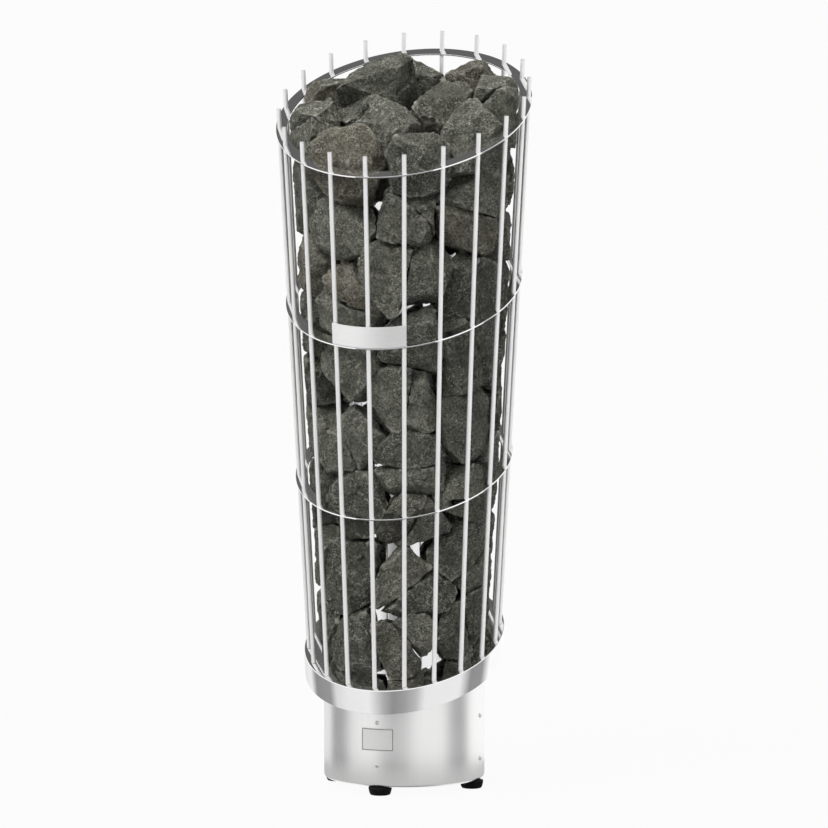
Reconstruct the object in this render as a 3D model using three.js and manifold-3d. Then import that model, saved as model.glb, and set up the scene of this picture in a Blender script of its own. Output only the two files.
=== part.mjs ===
// Tower sauna heater. A flaring cage of round rods and sloping hoops holds the stones around a
// steel tube with the heating elements in it. The cage stands on a sloping floor over a round base
// with levelling feet. Millimetres, +Z up, front towards -Y, origin on the ground on the axis.
import * as THREE from "three";
import { ConvexGeometry } from "three/addons/geometries/ConvexGeometry.js";
import { mergeVertices } from "three/addons/utils/BufferGeometryUtils.js";
import Module from "manifold-3d";

const wasm = await Module();
wasm.setup();

// Fits
const CLEARANCE = 0.3;

// Slope of the floor, the hoops and the rod tops, which rise towards the back
const SLOPE_DEG = 25;

// Cage. Radii are measured in the sloping planes, heights on the axis.
const ROD_COUNT = 20;
const ROD_DIAMETER = 6;
const ROD_OVERHANG = 26;
const CAGE_FLOOR_RADIUS = 125.8;
const CAGE_TOP_RADIUS = 163.5;
const HOOP_NAMES = ["lower_hoop", "middle_hoop", "top_hoop"];
const HOOP_SPACING = 229;
const HOOP_THICKNESS = 2;
const HOOP_OUTER_MARGIN = 5;
const HOOP_INNER_MARGIN = 10;

// Stone floor and its skirt
const FLOOR_HEIGHT = 196.5;
const FLOOR_THICKNESS = 1.5;
const FLOOR_MARGIN = 6.8;
const SKIRT_HEIGHT = 32;
const SKIRT_WALL = 1.5;

// Bare plate across the front rods, on the middle hoop
const NAMEPLATE_HEIGHT = 28;
const NAMEPLATE_THICKNESS = 1.2;
const NAMEPLATE_RODS = 3;
const NAMEPLATE_SIDE = 2.5;

// Levelling feet
const FOOT_NAMES = ["front", "right", "back", "left"];
const FOOT_INSET = 11.5;
const PAD_DIAMETER = 30.4;
const PAD_SOLE_DIAMETER = 25;
const PAD_HEIGHT = 10.5;
const PAD_RIM = 3;
const PAD_ROUNDING = 1.9;
const PAD_SOLE_THICKNESS = 4;
const STUD_DIAMETER = 8;
const STUD_LENGTH = 26;

// Base shell
const BASE_RADIUS = 105;
const BASE_WALL = 1.5;
const BASE_FILLET = 5;
const BASE_FLANGE = 27;

// Frame inside the base
const FRAME_THICKNESS = 4;
const FRAME_RING_WIDTH = 30;
const UPRIGHT_THICKNESS = 5;
const UPRIGHT_WIDTH = 24;

// Screws that hold the shell to the frame
const LOWER_SCREW_HEIGHT = 39.4;
const UPPER_SCREW_HEIGHT = 95.9;
const SCREW_DIAMETER = 3;
const SCREW_HEAD_DIAMETER = 5.6;
const SCREW_HEAD_HEIGHT = 2;
const SCREW_DOME_SHARE = 0.7;
const SCREW_TIP = 1;

// Foil label on the base front
const LABEL_WIDTH = 44;
const LABEL_HEIGHT = 29.5;
const LABEL_SCREW_GAP = 7.3;
const LABEL_THICKNESS = 0.4;

// Inner tube with its vented lid
const TUBE_RADIUS = 84;
const TUBE_WALL = 1.5;
const TUBE_LID_DEPTH = 108;
const TUBE_BELOW_FLOOR = 10;
const VENT_COUNT = 6;
const VENT_RADIUS = 9;
const VENT_CIRCLE_RADIUS = 52;

// Heating elements and the plate that holds them
const ELEMENT_COUNT = 3;
const ELEMENT_DIAMETER = 8;
const ELEMENT_LEG_SPACING = 48;
const ELEMENT_CIRCLE_RADIUS = 48;
const ELEMENT_TOP_GAP = 32;
const ELEMENT_TAIL = 15;
const PLATE_HEIGHT = 70;
const PLATE_THICKNESS = 2;
const PLATE_AIR_RADIUS = 30;

// Supply: terminal block on the frame, cable gland in the shell
const BLOCK_LENGTH = 46;
const BLOCK_DEPTH = 18;
const BLOCK_HEIGHT = 20;
const BLOCK_WAYS = 4;
const BLOCK_GROOVE_WIDTH = 2;
const BLOCK_GROOVE_DEPTH = 7;
const BLOCK_ANGLE_DEG = 135;
const GLAND_HEIGHT = 45;
const GLAND_ANGLE_DEG = 215;
const GLAND_NECK_DIAMETER = 20;
const GLAND_CAP_DIAMETER = 26;
const GLAND_CAP_LENGTH = 16;
const GLAND_NUT_DIAMETER = 27;
const GLAND_NUT_LENGTH = 5;

// Stones, as upright stacks round the tube and a heap over its lid
const STONE_SIZE = 78;
const STONE_STACKS = 8;
const STONE_RISE = 20;
const STONE_LEVELLING = 18;
const STONE_CLEARANCE = 5;
const STONE_LEAST_ROOM = 8;
const STONE_GAP = 0.6;
const STONE_CONTACT_RADIUS = 6;
const STONE_CONTACT_DEPTH = 5;
const STONE_LEAST_EDGE = 12;
const HEAP_CROWN_RISE = 28;
const HEAP_CROWN_ANGLE_DEG = 235;
const HEAP_ROUND_DROP = 18;
const HEAP_SCATTER = 5;

// Shares of the stone size, of the room a stone has, of a row, of a radian or of the tube's radius
const STONE_SPREAD_SHARE = 0.15;
const STONE_REACH_SHARE = 0.75;
const STONE_CUTS = 6;
const STONE_CUT_SHARE = 0.53;
const STONE_CUT_SPREAD_SHARE = 0.08;
const STONE_TILT_SHARE = 0.35;
const STONE_JOINT_SHARE = 0.12;
const STONE_EDGE_SHARE = 0.45;
const ROW_SCATTER_SHARE = 0.14;
const ANGLE_SCATTER_SHARE = 0.1;
const HEAP_SEATING_SHARE = 0.45;
const HEAP_LID_SHARE = 0.5;
const HEAP_ROUND_SHARE = 0.7;
const HEAP_CROWN_SHARE = 0.4;
const HEAP_CROWN_SIZE_SHARE = 1.1;
const STONE_SEED = 9;

// How finely round things are divided
const ROD_SIDES = 10;
const HOLE_SIDES = 8;
const SMALL_SIDES = 16;
const ROUND_SIDES = 40;
const FILLET_STEPS = 2;
const BEND_STEPS = 8;
const UPRIGHT_STEPS = 4;
const LABEL_STEPS = 8;
const PLATE_STEPS = 12;

// Values worked out from the sizes above
const FULL_TURN = 2 * Math.PI;
const SLOPE = THREE.MathUtils.degToRad(SLOPE_DEG);
const COS_SLOPE = Math.cos(SLOPE);
const SIN_SLOPE = Math.sin(SLOPE);
const TAN_SLOPE = Math.tan(SLOPE);
const ROD_RADIUS = ROD_DIAMETER / 2;
const ROD_STEP = FULL_TURN / ROD_COUNT;
const CAGE_HEIGHT = HOOP_NAMES.length * HOOP_SPACING;
const CAGE_FLARE = (CAGE_TOP_RADIUS - CAGE_FLOOR_RADIUS) / CAGE_HEIGHT;
const TOP_HOOP_HEIGHT = FLOOR_HEIGHT + CAGE_HEIGHT;
const TUBE_TOP = TOP_HOOP_HEIGHT - TUBE_LID_DEPTH;
const FLOOR_RADIUS = CAGE_FLOOR_RADIUS + FLOOR_MARGIN;
const BASE_BOTTOM = PAD_HEIGHT + CLEARANCE;
const BASE_BORE = BASE_RADIUS - BASE_WALL;
const BASE_BORE_FLATS = BASE_BORE * Math.cos(Math.PI / ROUND_SIDES);
const FRAME_BOTTOM = BASE_BOTTOM + BASE_WALL + CLEARANCE;
const FRAME_TOP = FRAME_BOTTOM + FRAME_THICKNESS;
const FRAME_RADIUS = BASE_RADIUS - BASE_FILLET;
const FRAME_INNER = FRAME_RADIUS - FRAME_RING_WIDTH;
const FOOT_CIRCLE_RADIUS = BASE_RADIUS - FOOT_INSET;
const UPRIGHT_OUTER = BASE_BORE_FLATS - CLEARANCE;
const UPRIGHT_INNER = UPRIGHT_OUTER - UPRIGHT_THICKNESS;
const QUARTER_TURN = FULL_TURN / FOOT_NAMES.length;
const CUTTER_SIZE = 3 * CAGE_TOP_RADIUS;
const FAR_BELOW = 2 * ROD_OVERHANG;

const STEEL = new THREE.MeshStandardMaterial({ color: 0xd8d9da, roughness: 0.15, metalness: 1 });
const BRUSHED = new THREE.MeshStandardMaterial({ color: 0xc9cacb, roughness: 0.35, metalness: 1 });
const SHEET = new THREE.MeshStandardMaterial({ color: 0xb4b5b6, roughness: 0.4, metalness: 1 });
const FOIL = new THREE.MeshStandardMaterial({ color: 0xd0d0cf, roughness: 0.45, metalness: 0.6 });
const STONE = new THREE.MeshStandardMaterial({ color: 0x4a4d44, roughness: 0.9, metalness: 0 });
const PLASTIC = new THREE.MeshStandardMaterial({ color: 0x0d0d0e, roughness: 0.5, metalness: 0 });
const ZINC = new THREE.MeshStandardMaterial({ color: 0xa9abad, roughness: 0.4, metalness: 1 });
const ELEMENT = new THREE.MeshStandardMaterial({ color: 0x55504c, roughness: 0.6, metalness: 0.8 });
const CERAMIC = new THREE.MeshStandardMaterial({ color: 0xe6e1d4, roughness: 0.5, metalness: 0 });

const heater = new THREE.Group();

function addMesh(name, geometry, material, parent = heater) {
  const mesh = new THREE.Mesh(geometry, material);
  mesh.name = name;
  parent.add(mesh);
  return mesh;
}

// A geometry as a solid that can be joined and cut
function solidOf(geometry) {
  const bare = geometry.clone();
  bare.deleteAttribute("normal");
  bare.deleteAttribute("uv");
  const merged = mergeVertices(bare, 1e-4);
  return new wasm.Manifold(
    new wasm.Mesh({
      numProp: 3,
      vertProperties: new Float32Array(merged.attributes.position.array),
      triVerts: new Uint32Array(merged.index.array),
    }),
  );
}

function geometryOf(solid) {
  const mesh = solid.getMesh();
  const geometry = new THREE.BufferGeometry();
  geometry.setAttribute("position", new THREE.BufferAttribute(mesh.vertProperties, 3));
  geometry.setIndex(new THREE.BufferAttribute(mesh.triVerts, 1));
  geometry.computeVertexNormals();
  return geometry;
}

function cutAll(solid, cutters) {
  return cutters.reduce((rest, cutter) => rest.subtract(solidOf(cutter)), solid);
}

function lathe(points, sides) {
  const profile = points.map(([radius, height]) => new THREE.Vector2(radius, height));
  return new THREE.LatheGeometry(profile, sides).rotateX(Math.PI / 2);
}

// A round bar between two points
function barBetween(start, end, radius, sides) {
  const along = end.clone().sub(start);
  const turn = new THREE.Quaternion().setFromUnitVectors(
    new THREE.Vector3(0, 1, 0),
    along.clone().normalize(),
  );
  const middle = start.clone().add(end).multiplyScalar(0.5);
  return new THREE.CylinderGeometry(radius, radius, along.length(), sides)
    .applyQuaternion(turn)
    .translate(middle.x, middle.y, middle.z);
}

// A cutter for a hole whose flats clear a round bar of the given radius
function holeBetween(start, end, radius, sides) {
  return barBetween(start, end, (radius + CLEARANCE) / Math.cos(Math.PI / sides), sides);
}

// Angles run from the front towards the right.
function around(angle, radius, height) {
  return new THREE.Vector3(radius * Math.sin(angle), -radius * Math.cos(angle), height);
}

function cageRadius(height) {
  return CAGE_FLOOR_RADIUS + CAGE_FLARE * (height - FLOOR_HEIGHT);
}

// A point of the sloping plane that crosses the axis at the given height
function onSlope(angle, radius, height) {
  const flat = around(angle, radius, height);
  return new THREE.Vector3(flat.x, flat.y * COS_SLOPE, height + flat.y * SIN_SLOPE);
}

// Keeps every upright upright and lays level circles on the slope as circles of the same size.
function slopeShear(height) {
  return new THREE.Matrix4().set(
    1, 0, 0, 0,
    0, COS_SLOPE, 0, 0,
    0, SIN_SLOPE, 1, height,
    0, 0, 0, 1,
  );
}

// A block that takes away all on one side of the sloping plane through the given axis height
function slopeCutter(height, side) {
  return new THREE.BoxGeometry(CUTTER_SIZE, CUTTER_SIZE, CUTTER_SIZE)
    .translate(0, 0, (side * CUTTER_SIZE) / 2)
    .rotateX(SLOPE)
    .translate(0, 0, height);
}

// A band of a ring, seen from above, between two radii and centred on the front
function ringBand(inner, outer, halfAngle, height, steps) {
  const front = -Math.PI / 2;
  const outline = new THREE.Shape();
  outline.absarc(0, 0, outer, front - halfAngle, front + halfAngle, false);
  outline.absarc(0, 0, inner, front + halfAngle, front - halfAngle, true);
  outline.closePath();
  return new THREE.ExtrudeGeometry(outline, {
    depth: height,
    bevelEnabled: false,
    curveSegments: steps / 2,
  });
}

// Cage rods: round bars welded into the hoops, their lower ends cut to the slope of the floor.
const rodAngles = Array.from({ length: ROD_COUNT }, (_, index) => index * ROD_STEP);

function rodEnds(angle) {
  const bottom = FLOOR_HEIGHT - FAR_BELOW;
  const top = TOP_HOOP_HEIGHT + ROD_OVERHANG;
  return [onSlope(angle, cageRadius(bottom), bottom), onSlope(angle, cageRadius(top), top)];
}

rodAngles.forEach((angle, index) => {
  const foot = slopeCutter(FLOOR_HEIGHT + CLEARANCE / COS_SLOPE, -1);
  const rod = cutAll(solidOf(barBetween(...rodEnds(angle), ROD_RADIUS, ROD_SIDES)), [foot]);
  addMesh(`cage_rod_${String(index + 1).padStart(2, "0")}`, geometryOf(rod), STEEL);
});

// Hoops: flat rings drilled for the rods.
function hoopHeight(name) {
  return FLOOR_HEIGHT + (HOOP_NAMES.indexOf(name) + 1) * HOOP_SPACING;
}

HOOP_NAMES.forEach((name) => {
  const height = hoopHeight(name);
  const radius = cageRadius(height);
  const outer = radius + HOOP_OUTER_MARGIN;
  const inner = radius - HOOP_INNER_MARGIN;
  const half = HOOP_THICKNESS / 2;
  const ring = lathe(
    [
      [inner, -half],
      [outer, -half],
      [outer, half],
      [inner, half],
      [inner, -half],
    ],
    ROUND_SIDES,
  );
  const hoop = addMesh(name, ring, STEEL);
  hoop.rotation.x = SLOPE;
  hoop.position.z = height;
  hoop.updateMatrix();
  const intoHoop = hoop.matrix.clone().invert();
  const holes = rodAngles.map((angle) =>
    holeBetween(...rodEnds(angle), ROD_RADIUS, HOLE_SIDES).applyMatrix4(intoHoop),
  );
  hoop.geometry = geometryOf(cutAll(solidOf(ring), holes));
});

// Stone floor: one pressed plate with a skirt that narrows downward like the cage.
const skirtFoot = FLOOR_RADIUS - CAGE_FLARE * SKIRT_HEIGHT;
const floorDrop = FLOOR_THICKNESS / COS_SLOPE;
const floorUnderside = FLOOR_HEIGHT - floorDrop;
const floorPressing = lathe(
  [
    [0, -floorDrop],
    [FLOOR_RADIUS - CAGE_FLARE * floorDrop - SKIRT_WALL, -floorDrop],
    [skirtFoot - SKIRT_WALL, -SKIRT_HEIGHT],
    [skirtFoot, -SKIRT_HEIGHT],
    [FLOOR_RADIUS, 0],
    [0, 0],
  ],
  ROUND_SIDES,
).applyMatrix4(slopeShear(FLOOR_HEIGHT));
const tubeHole = lathe(
  [
    [0, 0],
    [TUBE_RADIUS + CLEARANCE, 0],
    [TUBE_RADIUS + CLEARANCE, 2 * FLOOR_HEIGHT],
    [0, 2 * FLOOR_HEIGHT],
  ],
  ROUND_SIDES,
);
addMesh("stone_floor", geometryOf(cutAll(solidOf(floorPressing), [tubeHole])), STEEL);

// Nameplate: a bare sheet bent round the front rods, standing on the middle hoop.
const middleHoopHeight = hoopHeight("middle_hoop");
const plateFoot = (HOOP_THICKNESS / 2 + CLEARANCE) / COS_SLOPE;
const plateInner = cageRadius(middleHoopHeight) + (ROD_RADIUS + CLEARANCE) / COS_SLOPE;
const plateHalfAngle = ((NAMEPLATE_RODS - 1) / 2) * ROD_STEP + NAMEPLATE_SIDE / plateInner;
const plate = ringBand(
  plateInner,
  plateInner + NAMEPLATE_THICKNESS,
  plateHalfAngle,
  NAMEPLATE_HEIGHT,
  PLATE_STEPS,
).translate(0, 0, plateFoot);
const platePoints = plate.attributes.position;
for (let index = 0; index < platePoints.count; index += 1) {
  const point = new THREE.Vector3().fromBufferAttribute(platePoints, index);
  const flare = 1 + (CAGE_FLARE * point.z) / plateInner;
  platePoints.setXYZ(index, point.x * flare, point.y * flare, point.z);
}
plate.applyMatrix4(slopeShear(middleHoopHeight));
addMesh("nameplate", plate, BRUSHED);

// Base shell: a rolled sheet with its lower edge rounded in to a flange, its top cut to the slope.
function filletArc(radius, startAngle, endAngle) {
  return Array.from({ length: FILLET_STEPS + 1 }, (_, step) => {
    const angle = THREE.MathUtils.lerp(startAngle, endAngle, step / FILLET_STEPS);
    const height = BASE_BOTTOM + BASE_FILLET + radius * Math.sin(angle);
    return [BASE_RADIUS - BASE_FILLET + radius * Math.cos(angle), height];
  });
}

const shellTop = 2 * FLOOR_HEIGHT;
const flangeInner = BASE_RADIUS - BASE_FLANGE;
const shellProfile = [
  [flangeInner, BASE_BOTTOM],
  ...filletArc(BASE_FILLET, -Math.PI / 2, 0),
  [BASE_RADIUS, shellTop],
  [BASE_BORE, shellTop],
  ...filletArc(BASE_FILLET - BASE_WALL, 0, -Math.PI / 2),
  [flangeInner, BASE_BOTTOM + BASE_WALL],
  [flangeInner, BASE_BOTTOM],
];
const shellCutter = slopeCutter(floorUnderside - CLEARANCE / COS_SLOPE, 1);

function studHole(angle) {
  const start = around(angle, FOOT_CIRCLE_RADIUS, 0);
  const end = around(angle, FOOT_CIRCLE_RADIUS, 2 * FRAME_TOP);
  return holeBetween(start, end, STUD_DIAMETER / 2, HOLE_SIDES);
}

function screwHole(angle, height) {
  const start = around(angle, UPRIGHT_INNER - CLEARANCE, height);
  const end = around(angle, BASE_RADIUS + CLEARANCE, height);
  return holeBetween(start, end, SCREW_DIAMETER / 2, HOLE_SIDES);
}

const footAngles = FOOT_NAMES.map((_, index) => index * QUARTER_TURN);
const screwRows = { lower: LOWER_SCREW_HEIGHT, upper: UPPER_SCREW_HEIGHT };
const studHoles = footAngles.map(studHole);
const screwHoles = footAngles.flatMap((angle) =>
  Object.values(screwRows).map((height) => screwHole(angle, height)),
);
const glandAngle = THREE.MathUtils.degToRad(GLAND_ANGLE_DEG);
const glandHole = holeBetween(
  around(glandAngle, FOOT_CIRCLE_RADIUS, GLAND_HEIGHT),
  around(glandAngle, BASE_RADIUS + BASE_WALL, GLAND_HEIGHT),
  GLAND_NECK_DIAMETER / 2,
  SMALL_SIDES,
);
const shell = cutAll(solidOf(lathe(shellProfile, ROUND_SIDES)), [
  shellCutter,
  ...studHoles,
  ...screwHoles,
  glandHole,
]);
addMesh("base_shell", geometryOf(shell), BRUSHED);

// Base frame: a ring over the flange with four uprights under the stone floor.
const frameRing = lathe(
  [
    [FRAME_INNER, FRAME_BOTTOM],
    [FRAME_RADIUS, FRAME_BOTTOM],
    [FRAME_RADIUS, FRAME_TOP],
    [FRAME_INNER, FRAME_TOP],
    [FRAME_INNER, FRAME_BOTTOM],
  ],
  ROUND_SIDES,
);
const uprightBottom = BASE_BOTTOM + BASE_FILLET;
const uprightHalfAngle = UPRIGHT_WIDTH / 2 / UPRIGHT_OUTER;
const frameWithUprights = footAngles.reduce((rest, angle) => {
  const upright = ringBand(UPRIGHT_INNER, UPRIGHT_OUTER, uprightHalfAngle, shellTop, UPRIGHT_STEPS)
    .translate(0, 0, uprightBottom)
    .rotateZ(angle);
  return rest.add(solidOf(upright));
}, solidOf(frameRing));
const frame = cutAll(frameWithUprights, [shellCutter, ...studHoles, ...screwHoles]);
addMesh("base_frame", geometryOf(frame), SHEET);

// Levelling feet: a plastic pad moulded with a socket, and the threaded stud that stands in it.
const padRadius = PAD_DIAMETER / 2;
const soleRadius = PAD_SOLE_DIAMETER / 2;
const socketRadius = STUD_DIAMETER / 2 + CLEARANCE;
const padProfile = [
  [0, 0],
  [soleRadius, 0],
  [(soleRadius + padRadius) / 2, PAD_ROUNDING],
  [padRadius, PAD_HEIGHT - PAD_RIM],
  [padRadius, PAD_HEIGHT],
  [socketRadius, PAD_HEIGHT],
  [socketRadius, PAD_SOLE_THICKNESS],
  [0, PAD_SOLE_THICKNESS],
];
const studFoot = PAD_SOLE_THICKNESS + CLEARANCE;
const studProfile = [
  [0, studFoot],
  [STUD_DIAMETER / 2, studFoot],
  [STUD_DIAMETER / 2, studFoot + STUD_LENGTH],
  [0, studFoot + STUD_LENGTH],
];
FOOT_NAMES.forEach((name, index) => {
  const foot = new THREE.Group();
  foot.position.copy(around(footAngles[index], FOOT_CIRCLE_RADIUS, 0));
  addMesh(`foot_pad_${name}`, lathe(padProfile, SMALL_SIDES), PLASTIC, foot);
  addMesh(`foot_stud_${name}`, lathe(studProfile, HOLE_SIDES), ZINC, foot);
  heater.add(foot);
});

// Base screws: domed heads outside the shell, shanks through it into the uprights.
const headRadius = SCREW_HEAD_DIAMETER / 2;
const shankLength = BASE_RADIUS - UPRIGHT_INNER + SCREW_TIP;
const screwProfile = [
  [0, -shankLength],
  [SCREW_DIAMETER / 2, -shankLength],
  [SCREW_DIAMETER / 2, CLEARANCE],
  [headRadius, CLEARANCE],
  [headRadius, CLEARANCE + SCREW_HEAD_HEIGHT * (1 - SCREW_DOME_SHARE)],
  [headRadius * SCREW_DOME_SHARE, CLEARANCE + SCREW_HEAD_HEIGHT * SCREW_DOME_SHARE],
  [0, CLEARANCE + SCREW_HEAD_HEIGHT],
];
FOOT_NAMES.forEach((side, index) => {
  Object.entries(screwRows).forEach(([row, height]) => {
    const turned = new THREE.Group();
    turned.rotation.z = footAngles[index];
    const screw = addMesh(`base_screw_${side}_${row}`, lathe(screwProfile, HOLE_SIDES), ZINC, turned);
    screw.position.set(0, -BASE_RADIUS, height);
    screw.rotation.x = Math.PI / 2;
    heater.add(turned);
  });
});

// Label: blank foil stuck to the base front.
const labelInner = BASE_RADIUS + CLEARANCE;
const label = ringBand(
  labelInner,
  labelInner + LABEL_THICKNESS,
  LABEL_WIDTH / 2 / labelInner,
  LABEL_HEIGHT,
  LABEL_STEPS,
);
addMesh("base_label", label, FOIL).position.z = UPPER_SCREW_HEIGHT - LABEL_SCREW_GAP - LABEL_HEIGHT;

// Inner tube: stands upright through the floor, closed by a vented lid that carries the heap.
const tubeProfile = [
  [0, TUBE_TOP - TUBE_WALL],
  [TUBE_RADIUS - TUBE_WALL, TUBE_TOP - TUBE_WALL],
  [TUBE_RADIUS - TUBE_WALL, 0],
  [TUBE_RADIUS, 0],
  [TUBE_RADIUS, TUBE_TOP],
  [0, TUBE_TOP],
];
const vents = Array.from({ length: VENT_COUNT }, (_, index) => {
  const angle = (index / VENT_COUNT) * FULL_TURN;
  const start = around(angle, VENT_CIRCLE_RADIUS, TUBE_TOP - 2 * TUBE_WALL);
  const end = around(angle, VENT_CIRCLE_RADIUS, TUBE_TOP + TUBE_WALL);
  return barBetween(start, end, VENT_RADIUS, HOLE_SIDES);
});
const tubeFoot = slopeCutter(floorUnderside - TUBE_BELOW_FLOOR, -1);
const tube = cutAll(solidOf(lathe(tubeProfile, ROUND_SIDES)), [tubeFoot, ...vents]);
addMesh("inner_tube", geometryOf(tube), STEEL);

// Heating elements: hairpins of round tube, their tails through the plate below.
class Hairpin extends THREE.Curve {
  constructor(spacing, bottom, top, bendSteps) {
    super();
    this.bend = spacing / 2;
    this.bottom = bottom;
    this.shoulder = top - this.bend;
    this.legShare = 1 / (bendSteps + 2);
  }

  getPoint(share, target = new THREE.Vector3()) {
    const bendShare = (share - this.legShare) / (1 - 2 * this.legShare);
    if (bendShare < 0 || bendShare > 1) {
      const climb = Math.min(share, 1 - share) / this.legShare;
      const height = THREE.MathUtils.lerp(this.bottom, this.shoulder, climb);
      return target.set(bendShare < 0 ? -this.bend : this.bend, 0, height);
    }
    const angle = Math.PI * (1 - bendShare);
    return target.set(
      this.bend * Math.cos(angle),
      0,
      this.shoulder + this.bend * Math.sin(angle),
    );
  }

  getUtoTmapping(share) {
    return share;
  }
}

const elementSection = new THREE.Shape().absarc(0, 0, ELEMENT_DIAMETER / 2, 0, FULL_TURN, false);
const elementPath = new Hairpin(
  ELEMENT_LEG_SPACING,
  PLATE_HEIGHT - ELEMENT_TAIL,
  TUBE_TOP - ELEMENT_TOP_GAP,
  BEND_STEPS,
);
const elementAngles = Array.from(
  { length: ELEMENT_COUNT },
  (_, index) => (index / ELEMENT_COUNT) * FULL_TURN,
);
elementAngles.forEach((angle, index) => {
  const hairpin = new THREE.ExtrudeGeometry(elementSection, {
    steps: BEND_STEPS + 2,
    extrudePath: elementPath,
    curveSegments: HOLE_SIDES / 2,
    bevelEnabled: false,
  });
  const element = addMesh(`heating_element_${index + 1}`, hairpin, ELEMENT);
  element.position.copy(around(angle, ELEMENT_CIRCLE_RADIUS, 0));
  element.rotation.z = angle;
});

// Element plate: a disc between the uprights, open in the middle for the air.
const legHoles = elementAngles.flatMap((angle) =>
  [-1, 1].map((side) =>
    holeBetween(
      new THREE.Vector3((side * ELEMENT_LEG_SPACING) / 2, -ELEMENT_CIRCLE_RADIUS, 0),
      new THREE.Vector3((side * ELEMENT_LEG_SPACING) / 2, -ELEMENT_CIRCLE_RADIUS, 2 * PLATE_HEIGHT),
      ELEMENT_DIAMETER / 2,
      HOLE_SIDES,
    ).rotateZ(angle),
  ),
);
const plateRadius = UPRIGHT_INNER - CLEARANCE;
const elementDisc = lathe(
  [
    [PLATE_AIR_RADIUS, PLATE_HEIGHT],
    [plateRadius, PLATE_HEIGHT],
    [plateRadius, PLATE_HEIGHT + PLATE_THICKNESS],
    [PLATE_AIR_RADIUS, PLATE_HEIGHT + PLATE_THICKNESS],
    [PLATE_AIR_RADIUS, PLATE_HEIGHT],
  ],
  ROUND_SIDES,
);
addMesh("element_plate", geometryOf(cutAll(solidOf(elementDisc), legHoles)), SHEET);

// Terminal block: a ribbed ceramic bar on the frame ring.
const blockOutline = new THREE.Shape();
blockOutline.moveTo(-BLOCK_LENGTH / 2, 0);
blockOutline.lineTo(BLOCK_LENGTH / 2, 0);
blockOutline.lineTo(BLOCK_LENGTH / 2, BLOCK_HEIGHT);
for (let way = BLOCK_WAYS - 1; way > 0; way -= 1) {
  const middle = (way / BLOCK_WAYS - 0.5) * BLOCK_LENGTH;
  blockOutline.lineTo(middle + BLOCK_GROOVE_WIDTH / 2, BLOCK_HEIGHT);
  blockOutline.lineTo(middle + BLOCK_GROOVE_WIDTH / 2, BLOCK_HEIGHT - BLOCK_GROOVE_DEPTH);
  blockOutline.lineTo(middle - BLOCK_GROOVE_WIDTH / 2, BLOCK_HEIGHT - BLOCK_GROOVE_DEPTH);
  blockOutline.lineTo(middle - BLOCK_GROOVE_WIDTH / 2, BLOCK_HEIGHT);
}
blockOutline.lineTo(-BLOCK_LENGTH / 2, BLOCK_HEIGHT);
blockOutline.closePath();
const block = new THREE.ExtrudeGeometry(blockOutline, { depth: BLOCK_DEPTH, bevelEnabled: false })
  .translate(0, 0, -BLOCK_DEPTH / 2)
  .rotateX(Math.PI / 2);
const blockAngle = THREE.MathUtils.degToRad(BLOCK_ANGLE_DEG);
const blockMesh = addMesh("terminal_block", block, CERAMIC);
blockMesh.position.copy(around(blockAngle, (FRAME_INNER + FRAME_RADIUS) / 2, FRAME_TOP + CLEARANCE));
blockMesh.rotation.z = blockAngle;

// Cable gland: closed by its membrane, held in the shell by a nut.
const glandNeck = GLAND_NECK_DIAMETER / 2;
const glandCap = GLAND_CAP_DIAMETER / 2;
const glandNut = GLAND_NUT_DIAMETER / 2;
const nutFace = BASE_RADIUS - Math.sqrt(BASE_BORE_FLATS ** 2 - glandNut ** 2) + CLEARANCE;
const glandProfile = [
  [0, -nutFace - GLAND_NUT_LENGTH],
  [glandNut, -nutFace - GLAND_NUT_LENGTH],
  [glandNut, -nutFace],
  [glandNeck, -nutFace],
  [glandNeck, CLEARANCE],
  [glandCap, CLEARANCE],
  [glandCap, CLEARANCE + GLAND_CAP_LENGTH / 2],
  [glandNeck, CLEARANCE + GLAND_CAP_LENGTH],
  [0, CLEARANCE + GLAND_CAP_LENGTH],
];
const glandTurned = new THREE.Group();
glandTurned.rotation.z = glandAngle;
const gland = addMesh("cable_gland", lathe(glandProfile, SMALL_SIDES), PLASTIC, glandTurned);
gland.position.set(0, -BASE_RADIUS, GLAND_HEIGHT);
gland.rotation.x = Math.PI / 2;
heater.add(glandTurned);

// Stones: each is cut by flat faces towards its neighbours, by a few breaks of its own and by what
// holds it. In a stack, or in the heap, each touches the nearest one placed before it.
function randomSource(seed) {
  let state = seed;
  return () => {
    state = (state + 0x6d2b79f5) | 0;
    let mixed = Math.imul(state ^ (state >>> 15), 1 | state);
    mixed = (mixed + Math.imul(mixed ^ (mixed >>> 7), 61 | mixed)) ^ mixed;
    return ((mixed ^ (mixed >>> 14)) >>> 0) / 2 ** 32;
  };
}

const random = randomSource(STONE_SEED);
const jitter = (reach) => (2 * random() - 1) * reach;

// The tube's wall as seen in the sloping plane
function tubeReach(angle) {
  return TUBE_RADIUS / Math.hypot(Math.sin(angle), Math.cos(angle) * COS_SLOPE);
}

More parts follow.
